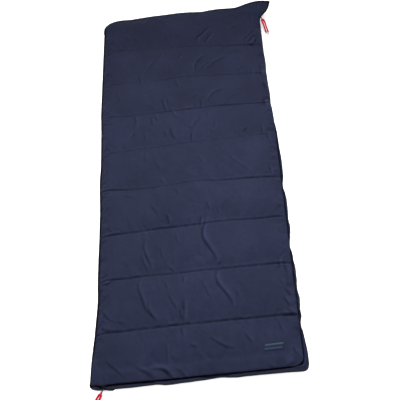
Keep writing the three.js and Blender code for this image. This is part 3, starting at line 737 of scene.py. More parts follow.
def settle(grid, pinned):
    """runs Blender's cloth on the grid with the pinned vertices held"""
    obj = grid_object("front_cloth_sim", grid)
    group = obj.vertex_groups.new(name="pin")
    group.add([int(i) for i in np.nonzero(pinned.ravel())[0]], 1.0, "REPLACE")
    cloth = obj.modifiers.new("cloth", "CLOTH")
    cloth.settings.vertex_group_mass = "pin"
    for key, value in CLOTH_SETTINGS.items():
        setattr(cloth.settings, key, value)
    cloth.settings.effector_weights.gravity = 0
    cloth.collision_settings.use_collision = False
    cloth.collision_settings.use_self_collision = False
    cloth.point_cache.frame_start = 1
    cloth.point_cache.frame_end = CLOTH_FRAMES
    scene = bpy.context.scene
    scene.gravity = (0, 0, 0)
    for i in range(1, CLOTH_FRAMES + 1):
        scene.frame_set(i)
    settled = obj.evaluated_get(bpy.context.evaluated_depsgraph_get())
    verts = np.zeros(len(settled.data.vertices) * 3)
    settled.data.vertices.foreach_get("co", verts)
    mesh = obj.data
    bpy.data.objects.remove(obj)
    bpy.data.meshes.remove(mesh)
    scene.frame_set(1)
    return verts.reshape(grid.shape) / MM


def settled_front(grid, row_indices):
    pinned = np.zeros(grid.shape[:2], bool)
    pinned[[0, -1], :] = True
    pinned[:, [0, -1]] = True
    for j in row_indices:
        pinned[j, 4:-7] = True
    start = puffed(grid, height=4.5, edge=30.0)
    uneven = 0.5 * noise(start[:, :, 0], start[:, :, 1], scale=26, seed=3)
    start[:, :, 2] += np.where(pinned, 0, uneven)
    out = settle(start, pinned)
    z = out[:, :, 2]
    # the loft is flattened by the cloth's own weight
    out[:, :, 2] = np.where(z > 51.0, 51.0 + 0.58 * (z - 51.0), z)
    return out


# ---------------------------------------------------------------- soft creases on the front
# strength, then x, y of each point along the crease
FOLDS = [
    (3.0, 52, -299, 48, -331, 38, -368, 40, -409, 61, -452, 77, -486, 87, -526),
    (1.6, 87, -526, 99, -514), (2.6, 82, -545, 77, -576, 87, -614, 109, -647, 125, -679, 131, -709),
    (2.2, -97, -281, -93, -303, -89, -328), (1.8, 37, -302, 29, -346), (1.2, 61, -236, 71, -280),
    (2.0, -185, -385, -188, -428, -177, -469, -163, -506, -165, -529),
    (1.3, -200, -461, -183, -508, -167, -542),
    (1.8, -204, -557, -210, -594, -197, -639, -184, -682, -157, -720, -136, -745),
    (1.2, -178, -665, -163, -708, -139, -733), (1.2, -109, -585, -102, -613),
    (1.3, -102, -635, -76, -685, -66, -705), (2.2, -46, -661, -45, -703, -49, -742),
    (1.6, -59, -696, -54, -736), (1.4, -42, -562, -43, -594), (1.6, -97, -519, -72, -545),
    (0.9, -158, -235, -141, -266, -129, -289), (0.9, 25, -590, 44, -641, 59, -673),
    (1.8, -29, -838, -4, -848), (1.9, 40, -814, 69, -836, 94, -852, 124, -861),
    (1.2, 160, -804, 178, -834, 189, -852), (1.4, -58, -769, -51, -807),
    (0.9, -112, -822, -108, -894), (1.6, -324, -871, -287, -906, -256, -933),
    (1.8, -221, -901, -185, -922, -150, -938), (2.2, -170, -910, -124, -919, -84, -944, -64, -954),
    (1.4, -83, -917, -58, -930, -34, -948), (0.8, 1, -870, 20, -893), (1.4, -134, -908, -104, -930),
    (1.2, 231, -921, 260, -931), (1.8, 291, -926, 327, -917), (1.0, 323, -874, 336, -907),
    (1.2, 307, -609, 321, -632), (1.8, 322, -645, 338, -673), (1.8, 312, -680, 331, -715),
    (2.4, 323, -726, 341, -752), (2.2, 302, -749, 342, -745), (1.3, 312, -514, 313, -563),
    (1.2, 330, -535, 337, -587), (1.2, -341, -675, -318, -712, -291, -732),
    (1.4, -283, -727, -258, -742), (1.8, -347, -746, -306, -763), (2.6, -333, -572, -303, -559),
    (0.8, -349, -601, -326, -629), (1.5, -195, -358, -181, -369), (1.0, 142, -632, 156, -669),
    (0.9, -272, -172, -224, -192), (1.0, 283, -775, 298, -822), (1.2, 338, -791, 347, -842),
    (0.8, 100, -276, 110, -305), (1.0, -67, -372, -60, -420), (0.8, -126, -434, -115, -488),
    (3.0, 132, 790, 97, 749, 71, 721, 64, 682), (2.2, 145, 747, 119, 715, 105, 685),
    (0.9, 212, 748, 244, 775, 288, 792), (1.0, 332, 871, 332, 805), (1.0, 372, 932, 370, 884),
    (2.2, 301, 665, 321, 689, 342, 717), (2.6, 312, 646, 334, 660, 349, 694),
    (1.6, 285, 684, 318, 716, 339, 749), (2.2, 306, 651, 338, 641),
    (1.6, 49, 500, 56, 541, 82, 580, 113, 602), (1.8, 101, 502, 138, 539, 175, 564, 200, 578),
    (1.2, 72, 509, 109, 543), (1.0, 201, 599, 244, 624), (1.4, -205, 498, -196, 446),
    (1.2, -173, 519, -137, 573, -125, 597), (1.3, -239, 770, -214, 722), (0.9, -276, 784, -251, 735),
    (0.9, -45, 470, -25, 395), (1.0, -52, 447, -27, 403), (1.5, -106, 342, -95, 294, -85, 263),
    (1.5, -73, 284, -52, 236, -31, 211), (1.2, -83, 347, -75, 306),
    (1.7, 96, 303, 121, 346, 162, 369, 179, 375), (1.6, 69, 321, 63, 267), (1.0, 87, 243, 91, 213),
    (1.1, 24, 334, 53, 347), (1.2, -6, 269, 39, 279), (1.6, -224, 256, -219, 210, -227, 175),
    (1.2, -240, 118, -224, 152), (1.0, -263, 186, -246, 206), (1.0, -186, 148, -175, 104),
    (1.2, -152, 240, -147, 180), (1.3, -141, 246, -125, 207), (1.1, -104, 154, -88, 116),
    (1.6, -71, 164, -61, 120, -48, 97), (1.3, 22, 154, 40, 189, 58, 216), (1.6, 18, 133, 14, 83),
    (0.8, 87, 147, 112, 115), (1.5, 236, 109, 254, 135), (1.2, 315, 143, 315, 93),
    (0.8, 153, 6, 187, -39, 244, -98), (1.0, 303, 485, 305, 452), (1.6, 346, 513, 346, 431),
    (2.2, 347, 399, 354, 374, 353, 350), (2.4, 341, 297, 343, 251), (1.6, 338, 465, 347, 439),
    (0.7, -181, 41, -176, -21), (0.8, -133, -25, -113, -68), (1.0, -124, -99, -104, -134),
    (1.0, -63, -158, -44, -191), (0.8, -340, 774, -317, 726), (0.8, 122, 179, 114, 144),
    (1.0, 332, 105, 338, 55), (1.2, 325, -67, 329, -127), (0.9, 233, 477, 270, 506),
    (0.7, -100, 628, -125, 572), (0.7, -5, 625, -30, 577), (0.8, -305, 397, -287, 332),
    (0.8, 203, 321, 244, 340), (0.7, 36, -2, 65, -53)]
FOLD_WIDTH = 5.6


def crease_section(x, y, points, width):
    """a groove along the points with a raised lip on one side, fading at both ends"""
    path = resample(points, count=24)
    nearest = np.full(x.shape, 1e12)    # squared distance
    side = np.zeros(x.shape)
    along = np.zeros(x.shape)
    for i, (start, end) in enumerate(zip(path, path[1:])):
        run = end - start
        squared = run @ run
        t = unit(((x - start[0]) * run[0] + (y - start[1]) * run[1]) / squared)
        away_x, away_y = x - (start[0] + t * run[0]), y - (start[1] + t * run[1])
        distance = away_x * away_x + away_y * away_y
        closer = distance < nearest
        offset = (run[0] * away_y - run[1] * away_x) / math.sqrt(squared)
        nearest = np.where(closer, distance, nearest)
        side = np.where(closer, offset, side)
        along = np.where(closer, (i + t) / (len(path) - 1), along)
    distance = np.sqrt(nearest)
    lip = 0.75 * bell(side - 1.7 * width, 1.5 * width) * (distance < 6 * width)
    return (lip - bell(distance, width)) * np.sin(unit(along) * math.pi) ** 0.6


def creases(x, y):
    """height of the soft creases, with painted shade in each groove and painted highlight on its lip
    """
    height, painted_shading_and_mottle = np.zeros(x.shape), np.zeros(x.shape)
    for strength, *numbers in FOLDS:
        points = np.reshape(np.array(numbers, float), (-1, 2))
        width = FOLD_WIDTH * (0.8 + 0.14 * strength)
        low, high = points.min(0) - 7 * width, points.max(0) + 7 * width
        near = (x > low[0]) & (x < high[0]) & (y > low[1]) & (y < high[1])
        if near.any():
            height[near] += 1.25 * strength * crease_section(x[near], y[near], points, width)
            # painted shade along the groove and painted highlight on its lip
            shade = crease_section(x[near], y[near], points, 0.72 * width)
            painted_shading_and_mottle[near] += min(1.35, 0.42 * strength + 0.3) * shade
    return height, painted_shading_and_mottle


# ---------------------------------------------------------------- front shell
def round_edge(grid, mask):
    """fills the cloth out into a rounded edge beside the zip and the foot"""
    x, y, z = grid[:, :, 0], grid[:, :, 1], grid[:, :, 2]
    inset = zip_side(x, y)[0] + HEM_OUT
    rise = 13.0 - 4.0 * bell(row_distance(x, y), 9.0)
    full = HEM_Z + rise * np.sqrt(1 - (1 - np.clip(inset, 0, 34) / 34) ** 2)
    full = full + 0.8 * noise(x, y, scale=30, seed=25) - 12.0 * unit((inset - 34) / 80)
    soft = 0.5 * (z + full + np.sqrt((z - full) ** 2 + 4.0)) - 0.3
    soft = np.where(inset < 4, np.maximum(z, full), soft)
    near = (inset > 0.5) & (inset < 110)
    grid[:, :, 2] = np.where(near, z + (np.maximum(soft, z) - z) * mask, z)


def row_relief(x, y):
    """height of the quilting rows, their puckers and the uneven filling, with painted shade and
    highlight on the rows and puckers
    """
    gaps = np.array([np.abs(y - row(x)) for row in ROW_LINES])
    gap, nearest = gaps.min(0), gaps.argmin(0)
    pucker, pull = np.zeros(x.shape), np.zeros(x.shape)
    for i, row in enumerate(ROW_LINES):
        slant = 0.22 * (y - row(x)) * math.sin(i * 2.1)
        ruffle = noise(x + slant, 900.0 * i + 0.15 * y, scale=15, seed=40 + i)
        strength = 0.55 + 0.45 * noise(x, 555.0 * i, scale=130, seed=70 + i, octaves=1)
        pucker += np.where(nearest == i, ruffle * strength, 0)
        pull = np.where(nearest == i, ROW_PULL[i](x), pull)
    height = (2.0 * pucker * (0.45 + 0.55 * pull) * np.exp(-gap / 18.0)
              * (1 - np.exp(-gap / 4.0)))
    # painted shade and highlight across the puckers
    painted_shading_and_mottle = 0.3 * pucker * (0.3 + 0.7 * pull) * np.exp(-gap / 11.0)
    # slow unevenness of the filling, then shallow ripples in the cloth
    height += 1.3 * noise(x, y, scale=120, seed=5) * (1 - np.exp(-gap / 30))
    height += 0.75 * noise(x, y * 0.42, scale=34, seed=6) * (1 - np.exp(-gap / 12))
    height += (0.5 * noise(x + y * 0.8, y - x * 0.3, scale=22, seed=9)
               * (1 - np.exp(-gap / 10)))
    # the stitching pulls a narrow groove between two low ridges; painted shade darkens the groove
    # and a painted highlight lightens the band beside it
    broken = np.clip(0.75 + 0.75 * noise(x, y * 0.2, scale=48, seed=27, octaves=3), 0.1, 1.4)
    painted_shading_and_mottle -= (0.05 + 0.95 * pull) * broken * bell(gap, 3.2) - 0.2 * pull * bell(gap - 10.0, 5.0)
    height += 2.4 * unit(0.75 - pull) * bell(gap, 7.5)
    height -= (0.15 + 1.6 * pull) * broken * bell(gap, 3.0)
    height += (0.1 + 0.9 * pull) * broken * bell(gap - 9.0, 5.0)
    return height, painted_shading_and_mottle


def edge_relief(x, y):
    """height of the gathers along the zip side, the foot and the sewn side, with painted shade and
    highlight on the gathers and a painted shadow line along each edge
    """
    # strength of the painted shadow line beside the zip and the foot, uneven and fainter near the
    # foot's zip-side corner
    dark = np.clip(0.8 + 0.6 * noise(x + y, y - x, scale=45, seed=86), 0.2, 1.2)
    dark = dark * (1 - 0.75 * unit((x - 150) / 80) * unit((-760 - y) / 60))
    inset = zip_x(y) - x
    gather = noise(y, inset * 0.25, scale=17, seed=21) * bell(inset - 12, 15.0) * (y < 830)
    height = 1.7 * gather
    # painted shadow line beside the zip, in the valley by the back half's roll
    painted_shading_and_mottle = 0.4 * gather - 1.3 * dark * bell(np.maximum(inset, 0), 5.2) * (y < 850)
    inset = y - zip_y(x)
    gather = noise(x + 0.5 * inset, inset * 0.3, scale=24, seed=22) * bell(inset - 15, 17.0)
    height += 1.8 * gather
    painted_shading_and_mottle += 0.3 * gather - 1.2 * dark * bell(np.maximum(inset, 0), 3.0)
    inset = x - crease_x(y)
    gather = noise(y, inset * 0.3, scale=26, seed=23) * bell(inset - 16, 14.0)
    height += 0.9 * gather
    # painted shadow line along the sewn side's edge
    painted_shading_and_mottle += 0.25 * gather - 1.4 * bell(inset, 4.2)
    return height, painted_shading_and_mottle


def border_fade(shape, width):
    """0 on the sewn boundary of a grid, 1 a few vertices inside it"""
    to_row, to_column = [np.minimum(np.arange(n), n - 1 - np.arange(n)) / width for n in shape]
    return unit(to_row[:, None]) * unit(to_column[None, :])


def swell_over_zip(grid, mask):
    """pushes the padded edge out over the zip, as far as the back half's roll leaves room"""
    x, y = grid[:, :, 0].copy(), grid[:, :, 1].copy()
    inset, out_x, out_y, corner, foot = zip_side(x, y)
    room_side = np.clip(roll_x(y) - zip_x(y) - 2.5, 0, 8.0)
    room_foot = np.clip(zip_y(x) - roll_y(x) - 3.0, 0, 8.0)
    room = np.where(corner, 8.6, np.where(foot, room_foot, room_side))
    reach = room * (0.9 + 0.22 * noise(np.where(foot, x, y), 0.0, scale=26, seed=24))
    # drawn in a little at two places along the foot
    drawn = 1 - 0.3 * np.exp(-((x + 265) / 60.0) ** 4) - 0.35 * bell(x - 62, 14.0)
    reach = np.minimum(reach * np.where(foot & ~corner, drawn, 1.0), 8.7)
    # beyond the parked slider the back half's roll comes up to meet the edge
    parked = reach + (3.2 - reach) * unit((-342 - x) / 5)
    reach = np.where(foot & (x < -340), parked, reach)
    inset_hem = inset + HEM_OUT
    bulge = np.where(inset_hem < 2.2, unit(inset_hem / 2.2) ** 0.7,
                     bell(np.maximum(inset_hem - 2.2, 0), 9.0))
    out = np.maximum(reach + inset, 0) * bulge * mask
    grid[:, :, 0] += out * out_x
    grid[:, :, 1] += out * out_y


def detail_front(settled):
    """the finished front cloth, how much finer it is than the settled one, and its painted shading
    with random mottle
    """
    step = 4
    grid = refine(refine(settled))
    x, y = grid[:, :, 0].copy(), grid[:, :, 1].copy()
    mask = (y < 760) * unit((x + 376) / 6)
    round_edge(grid, mask)
    normals = grid_normals(grid)
    reliefs = [creases(x, y), row_relief(x, y), edge_relief(x, y)]
    height = sum(relief[0] for relief in reliefs)
    painted_shading_and_mottle = sum(relief[1] for relief in reliefs)
    # random mottle added to the painted shading
    painted_shading_and_mottle += (0.13 * noise(x, y, scale=44, seed=81, octaves=3)
             + 0.1 * noise(x * 1.4, y * 0.6, scale=19, seed=82))
    grid = grid + normals * (height * border_fade(x.shape, 3.0 * step / 2))[:, :, None]
    swell_over_zip(grid, mask)
    return grid, step, painted_shading_and_mottle


FLAP_BLEND = ("front_half", "corner_flap", (0.388, 0.92, 0.042), (0.412, 0.92, 0.047))

base_grid, base_rows, _ = front_grid(PANEL_COLUMNS, PANEL_ROWS)
SETTLED = settled_front(base_grid, base_rows)
FRONT, front_step, front_painted_shading = detail_front(SETTLED)
FRONT_ROWS = [j * front_step for j in base_rows]
FRONT_TREE = tree_of(FRONT)
front_shell = grid_object("front_shell_cloth", FRONT)
set_painted_shading(front_shell, front_painted_shading)
place(front_shell, SHELL, "shell_fabric", "front_shell", "corner_flap_shell", blend=FLAP_BLEND)

# ---------------------------------------------------------------- linings
LINING_ROWS = [10, 9, 9, 9, 9, 9, 9, 9, 14]
LINING_GRID, lining_row_indices, LINING_ACROSS = front_grid(56, LINING_ROWS)
LAST_ROW = lining_row_indices[-1]
# mesh row and fraction of the way from the last quilting row to the mouth
HEAD_ROWS = [(j, (j - LAST_ROW) / (len(LINING_GRID) - 1 - LAST_ROW))
             for j in range(LAST_ROW, len(LINING_GRID))]


def lining_relief(x, y, seed):
    """pinch at the quilting rows, and rise beside the zip and the foot"""
    gap = row_distance(x, y)
    rise = unit(1 - (zip_x(y) - x - 8) / 42.0) * (y < 900)
    rise = np.maximum(rise, unit(1 - (y - zip_y(x) - 8) / 42.0))
    rise = rise * rise * (3 - 2 * rise)
    pinch = (4.2 * bell(gap, 9.0) + 0.5 * noise(x, y, scale=30, seed=seed) * np.exp(-gap / 30)
             + 0.35 * (1 + noise(x, y, scale=60, seed=33)))
    return np.maximum(pinch, 0), rise


def front_lining_grid():
    grid = LINING_GRID.copy()
    x, y = grid[:, :, 0], grid[:, :, 1]
    pinch, rise = lining_relief(x, y, seed=31)
    z = np.where(np.abs(x - x[:, :1]) < 2, 29.35, 29.3 + pinch + 7.0 * rise)
    mouth = MOUTH[CORNER_END:]
    for j, t in HEAD_ROWS:      # the last panel comes up to the mouth edge
        lift = np.interp(x[j], mouth[:, 0], mouth[:, 2] - 2.2) - z[j]
        z[j] = z[j] + lift * max(0, (t - 0.25) / 0.75) ** 1.6
    grid[:, :, 2] = z
    return grid


def back_lining_grid():
    grid = LINING_GRID.copy()
    top_x, top_y, _ = row_curve(8, LINING_ACROSS).T
    for j, t in HEAD_ROWS:      # it stops at the mouth of the back half
        y = top_y + (back_mouth_y(top_x) - top_y) * t
        left, right = head_left_x(y[0]) + 0.6, zip_x(y[-1]) - 1.2
        grid[j, :, 0] = left + (right - left) * LINING_ACROSS
        grid[j, :, 1] = y
    x, y = grid[:, :, 0], grid[:, :, 1]
    pinch, rise = lining_relief(x, y, seed=32)
    grid[:, :, 2] = np.where(np.abs(x - x[:, :1]) < 2, 27.65, 27.7 - pinch - 7.6 * rise)
    return grid


def tuck_in(grid, margin):
    """draws a lining's edge in to the given distance inside the zip line"""
    inset, out_x, out_y, _, _ = zip_side(grid[:, :, 0], grid[:, :, 1])
    shift = np.maximum(margin - inset, 0) * (grid[:, :, 1] < 800)
    grid[:, :, 0] -= shift * out_x
    grid[:, :, 1] -= shift * out_y


def keep_under_shell(grid):
    for point in grid.reshape(-1, 3):
        x, y, z = point
        shell = surface_z(FRONT_TREE, x, y)
        if shell is not None:
            point[2] = min(z, max(shell - 3.2, 29.2))
        elif x < 372 or y < 850:
            point[2] = min(z, 33.0 if x > -352 else 30.0)


FRONT_LINING = np.ascontiguousarray(refine(front_lining_grid()))
tuck_in(FRONT_LINING, margin=1.4)
keep_under_shell(FRONT_LINING)
place(grid_object("front_lining_cloth", FRONT_LINING, flip=True), LINING, "lining_fabric",
      "front_lining", "corner_flap_lining", blend=FLAP_BLEND)

back_lining = back_lining_grid()
tuck_in(back_lining, margin=0.9)
place(grid_object("back_lining_cloth", refine(back_lining)), LINING, "lining_fabric",
      "back_lining", body="back_half")

# ---------------------------------------------------------------- back shell
# One cloth from the zip hem, round the edge rolls, to the middle of the underside.
# Its section is given at 12 stations: (distance in from the outline, height).
SEWN_SECTION = [
    (0.2, 27.9), (-0.2, 25.5), (-0.6, 22.5), (-0.5, 19), (0.3, 15), (2.2, 10.8), (5.5, 6.6),
    (11, 3.2), (20, 1.2), (34, 0.5), (52, 0.3), (75, 0.3)]
MOUTH_SECTION = [
    (0.5, 26.8), (0.3, 25), (1.0, 22), (2.6, 18.5), (5.5, 14.5), (9.5, 10.6), (15, 7), (22, 4),
    (31, 1.9), (42, 0.8), (56, 0.4), (75, 0.3)]
ROLL_LOW = [(2.2, 7.2), (7.5, 3.3), (17, 1.1), (36, 0.4), (75, 0.3)]    # last 5, zip edges
# heights at the first 7 stations of the zip edges' roll
NARROW_Z = [19.0, 20.4, 21.2, 21.0, 19.8, 16.8, 12.5]   # where it hides under the front
WIDE_Z = [19.0, 20.4, 21.3, 36.0, 39.5, 31.0, 13.5]     # where it is wide it stands up
END_Z = [20.0, 27.0, 33.5, 36.5, 37.0, 30.0, 13.5]      # at the sewn end of the foot
ROLL_PINCH = [0, 0, 3.0, 3.0, 3.0, 3.0, 0]              # drop where a quilting row ends
CORNER_LIFT = [0, 0, 0, 1, 1, 0.7, 0]                   # share of the foot corner's lift
# wrinkle strength at each station, on the zip edges and on the others
ZIP_WRINKLE = [0, 0.4, 0.4, 1, 1, 1, 1, 1, 1, 0, 0, 0]
OTHER_WRINKLE = [0, 0] + [0.5] * 8 + [0, 0]


def back_outline():
    """plan outline from the foot's sewn corner, anticlockwise, with (sewn, zip, mouth) weights"""
    foot_x = np.linspace(-371, 346, 110)
    radius = 22.0
    centre_x, centre_y = 350.0, roll_y(346.0) + radius
    turn = np.radians(np.linspace(-84, -4, 12))
    side_y = np.linspace(centre_y + 6, 905, 250)
    mouth_x = np.linspace(362, -315, 100)
    sewn_y = np.linspace(820, -944, 250)
    runs = [
        ([(-377.0, -945.5), (-379.0, -949.5), (-377.5, -954.0)], (0.3, 0.7, 0)),
        (np.stack([foot_x, roll_y(foot_x)], 1), (0, 1, 0)),
        (np.stack([centre_x + radius * np.cos(turn), centre_y + radius * np.sin(turn)], 1),
         (0, 1, 0)),
        (np.stack([roll_x(side_y), side_y], 1), (0, 1, 0)),
        ([(386, 915), (384.5, 924), (380, 929.5), (372, 932)], (0, 0.4, 0.6)),
        (np.stack([mouth_x, back_mouth_y(mouth_x)], 1), (0, 0, 1)),
        (MOUTH[CORNER_END - 1::-1, :2] + (3.0, -1.5), (0.4, 0, 0.6)),
        (np.stack([crease_x(sewn_y), sewn_y], 1), (1, 0, 0))]
    outline = np.vstack([points for points, _ in runs])
    weights = np.vstack([np.tile(weight, (len(points), 1)) for points, weight in runs])
    return outline, weights.astype(float)


def even_outline():
    """the outline at even steps: distance run, points, softened weights"""
    outline, weights = back_outline()
    length = lengths_along(np.vstack([outline, outline[:1]]))
    run = np.linspace(0, length[-1], 900, endpoint=False)

    def spaced(table):
        return np.stack([np.interp(run, length, np.append(column, column[0]))
                         for column in table.T], 1)

    window = np.hanning(15)
    window /= window.sum()
    weights = np.stack([np.convolve(np.r_[column[-7:], column, column[:7]], window, "valid")
                        for column in spaced(weights).T], 1)
    return run, spaced(outline), weights / weights.sum(1)[:, None]


def roll_sections(x, y, width, pinch):
    """the zip edges' roll: distances from the zip and heights at 7 stations, and the end mask"""
    count = len(x)
    flat = [np.full(count, value) for value in (0.9, 4.0, 9.2, 10.9, 3.9, 4.3, 4.8, 5.4)]
    narrow = [flat[0]] + [share * width for share in (0.3, 0.55, 0.75, 0.88, 0.97)] + [width]
    wide = flat[:4] + [0.5 * (10.9 + width - 1.6), width - 0.9, width]
    end = flat[4:] + [0.5 * (5.4 + width), width - 0.8, width]
    widening = unit((width - 11.6) / 2.4)
    lift = 5.0 * unit((x - 270) / 60) * unit((-820 - y) / 60)
    # a gap where the parked puller comes out, and the end of the roll beyond it
    park = np.exp(-((x + 331.5) / 8.5) ** 6) * (y < -930)
    at_end = unit((-343 - x) / 5) * (y < -930)
    distances, heights = [], []
    for k in range(7):
        out = narrow[k] * (1 - widening) + wide[k] * widening
        z = (NARROW_Z[k] * (1 - widening) + WIDE_Z[k] * widening - pinch * ROLL_PINCH[k]
             + lift * CORNER_LIFT[k])
        z = z + at_end * (END_Z[k] - z)
        distances.append(out + at_end * (end[k] - out))
        heights.append(z + park * (np.minimum(z, 19.5) - z))
    return distances, heights, at_end


def underside(edge, centre):
    """rings shrinking from the last station to the middle line"""
    rings = np.stack([np.concatenate([edge + (centre - edge) * t, np.full((len(edge), 1), 0.3)], 1)
                      for t in np.linspace(0, 1, 34)[1:]], 1)
    x, y = rings[:, :, 0], rings[:, :, 1]
    inside = unit(np.minimum(x + 370, 370 - x) / 60)
    uneven = 1 + 0.5 * noise(x, y, scale=26, seed=54)
    rings[:, :, 2] = (0.3 + 9.5 * bell(row_distance(x, y), 13.0) * inside * uneven
                      + 0.5 * (1 + noise(x, y, scale=70, seed=55)))
    return rings


def back_shell_grid():
    run, outline, weights = even_outline()
    sewn, zipped, mouth = weights.T
    x, y = outline.T
    centre = np.stack([np.clip(x, -8, 8), np.clip(y, -640, 640)], 1)
    tangent = np.roll(outline, -2, 0) - np.roll(outline, 2, 0)
    inward = np.stack([-tangent[:, 1], tangent[:, 0]], 1)
    inward /= np.linalg.norm(inward, axis=1)[:, None]
    width = np.clip(-zip_side(x, y)[0], 4, 40)
    width = np.convolve(np.r_[width[-4:], width, width[:4]], np.ones(9) / 9, "valid")
    gap = np.where(np.abs(x) > 200, row_distance(np.where(x > 0, 360.0, -370.0), y), 1e9)
    pinch = bell(gap, 13.0)
    distances, heights, at_end = roll_sections(x, y, width, pinch)
    section = np.zeros((len(run), 12, 3))
    for k in range(12):
        if k < 7:
            roll_in, roll_z = width - distances[k], heights[k]
        else:
            roll_in, roll_z = ROLL_LOW[k - 7]
            roll_z = roll_z + pinch * 3.0 * (k < 10)
        inset = sewn * SEWN_SECTION[k][0] + mouth * MOUTH_SECTION[k][0] + zipped * roll_in
        z = sewn * SEWN_SECTION[k][1] + mouth * MOUTH_SECTION[k][1] + zipped * roll_z
        wrinkle = (1.1 * noise(run, 40.0 * k, scale=17, seed=51)
                   + 0.8 * noise(run + 7 * k, 10.0, scale=30, seed=52))
        wrinkle = wrinkle * (zipped * ZIP_WRINKLE[k] + (sewn + mouth) * OTHER_WRINKLE[k])
        section[:, k, :2] = outline + inward * (inset - 0.25 * wrinkle)[:, None]
        z = z + wrinkle * (0.9 if k < 6 else 0.3)
        if k < 7:   # stays low in the lane beside the zip where the slider runs
            cap = 21.3 + (1 - unit((10.7 - distances[k]) / 1.4)) * 30
            z = np.where((zipped > 0.5) & (at_end < 0.5), np.minimum(z, cap), z)
        section[:, k, 2] = z
    rings = underside(section[:, 11, :2], centre)
    section[:, 10:, 2] += 0.4
    grid = np.concatenate([section, rings], 1)
    grid[:, :, 2] = np.maximum(grid[:, :, 2], 0.15)
    return grid


def back_painted_shading(grid):
    """painted shade low on the roll, beside the zip and along the roll's outer crease, with random
    mottle; the flat middle gets mottle only
    """
    x, y, z = grid[:, :, 0], grid[:, :, 1], grid[:, :, 2]
    k = np.arange(grid.shape[1])[None, :]
    side = unit((x[:, 5:6] - 345) / 6) * unit((y[:, 5:6] + 935) / 12)
    # painted shade low on the roll, in the lane beside the zip, and along the roll's outer crease on
    # the zip side; then random mottle
    painted_shading_and_mottle = -1.5 * unit((20.0 - z) / 6.0) * (k > 3) - 0.6 * (k < 3)
    painted_shading_and_mottle = painted_shading_and_mottle - side * (1.4 * (k == 5) + 0.35 * (k == 4))
    painted_shading_and_mottle += 0.35 * noise(x + y, y - x, scale=15, seed=83, octaves=3)
    return np.where(k < 12, painted_shading_and_mottle, 0.12 * noise(x, y, scale=40, seed=84, octaves=3))


BACK = back_shell_grid()
back_shell = grid_object("back_shell_cloth", BACK, wrap_v=True)
set_painted_shading(back_shell, back_painted_shading(BACK))
place(back_shell, BACK_SHELL, "shell_fabric", "back_shell", body="back_half")
smoother = back_shell.modifiers.new("sub", "SUBSURF")
smoother.levels = 1
smoother.render_levels = 1

# ---------------------------------------------------------------- insulation in each half
# plan offsets at which the batting is kept clear of both cloths
CLEARANCE_OFFSETS = [(0, 0), (6, 0), (-6, 0), (11, 0), (-11, 0), (0, 7), (0, -7), (0, 3.5),
                     (0, -3.5)]


def front_batting():
    top = SETTLED[::2, 1::2][1:-1, 1:-1].copy()
    bottom = top.copy()
    lining_tree = tree_of(FRONT_LINING)

    def heights(tree, x, y):
        found = [surface_z(tree, x + dx, y + dy) for dx, dy in CLEARANCE_OFFSETS]
        return [z for z in found if z is not None]

    for j in range(top.shape[0]):
        for i in range(top.shape[1]):
            x, y, z = top[j, i]
            lining, shell = heights(lining_tree, x, y), heights(FRONT_TREE, x, y)
            low = max(lining) + 1.2 if lining else 31.0
            high = min(shell) - 0.9 if shell else z - 1.5
            if high - low < 0.4:
                middle = 0.5 * (high + low)
                low, high = middle - 0.2, middle + 0.2
            bottom[j, i, 2] = low
            top[j, i, 2] = min(max(z - 8.5, low + 0.4), high)
    place(slab_object("front_insulation_batt", top, bottom), BATTING, "insulation",
          "front_insulation", "corner_flap_insulation", blend=FLAP_BLEND)


def back_batting():
    top = back_lining_grid()[1:-1, 2:-2].copy()
    top[:, :, 2] -= 1.2
    bottom = top.copy()
    bottom[:, :, 0] *= 0.985
    x, y = bottom[:, :, 0], bottom[:, :, 1]
    inset = np.minimum(np.minimum(x + 372, 360 - x), np.minimum(y + 942, 922 - y))
    z = 4.5 + 9.5 * bell(row_distance(x, y), 16.0) + 9 * np.exp(-np.maximum(inset, 0) / 14.0)
    bottom[:, :, 2] = np.minimum(z, top[:, :, 2] - 0.8)
    place(slab_object("back_insulation_batt", top, bottom), BATTING, "insulation",
          "back_insulation", body="back_half")


front_batting()
back_batting()


# ---------------------------------------------------------------- sewn side
def side_strip(name, inset, z_top, z_low, material, slot):
    """cloth running over from the front half to the back half"""
    y = np.arange(-945.0, 836.0, 6.0)
    bow = 0.35 * np.sin(np.linspace(0, math.pi, 11))
    grid = np.zeros((len(y), 11, 3))
    grid[:, :, 0] = (crease_x(y) + inset)[:, None] - bow[None, :]
    grid[:, :, 1] = y[:, None]
    grid[:, :, 2] = np.linspace(z_top, z_low, 11)[None, :]
    blend = ("front_half", "back_half", (-0.37, 0, (z_top - 0.25) * MM),
             (-0.37, 0, (z_low + 0.25) * MM))
    place(grid_object(name, grid), material, slot, blend=blend)


def side_piping():
    y = np.arange(-948.0, 838.0, 4.0)
    x = crease_x(y) - 2.0 + 0.3 * noise(y, 0.0, scale=55, seed=62)
    z = MID_Z + 0.25 * noise(y, 0.0, scale=40, seed=61)
    radius = 3.0 + 0.12 * noise(y, 0.0, scale=9, seed=63, octaves=1)
    piping = new_object("side_piping_cord", *tube(np.stack([x, y, z], 1), radius, circle(14)))
    place(piping, TRIM, "edge_trim", "side_piping", body="back_half")


side_strip("side_seam_cloth", inset=0.15, z_top=29.75, z_low=27.45, material=SHELL,
           slot="shell_fabric")
side_strip("side_seam_lining", inset=1.6, z_top=29.7, z_low=27.5, material=LINING,
           slot="lining_fabric")
side_piping()


# ---------------------------------------------------------------- bound edges of the mouth
def binding(name, path, half_width, half_height, seed):
    """a folded tape wrapped over the edge"""
    path = resample(path, step=3.2)
    section = rounded_square(18, 0.8) * (half_width, half_height)
    radius = 1 + 0.06 * noise(lengths_along(path), 0.0, scale=11, seed=seed)
    return new_object(name, *tube(path, radius, section))


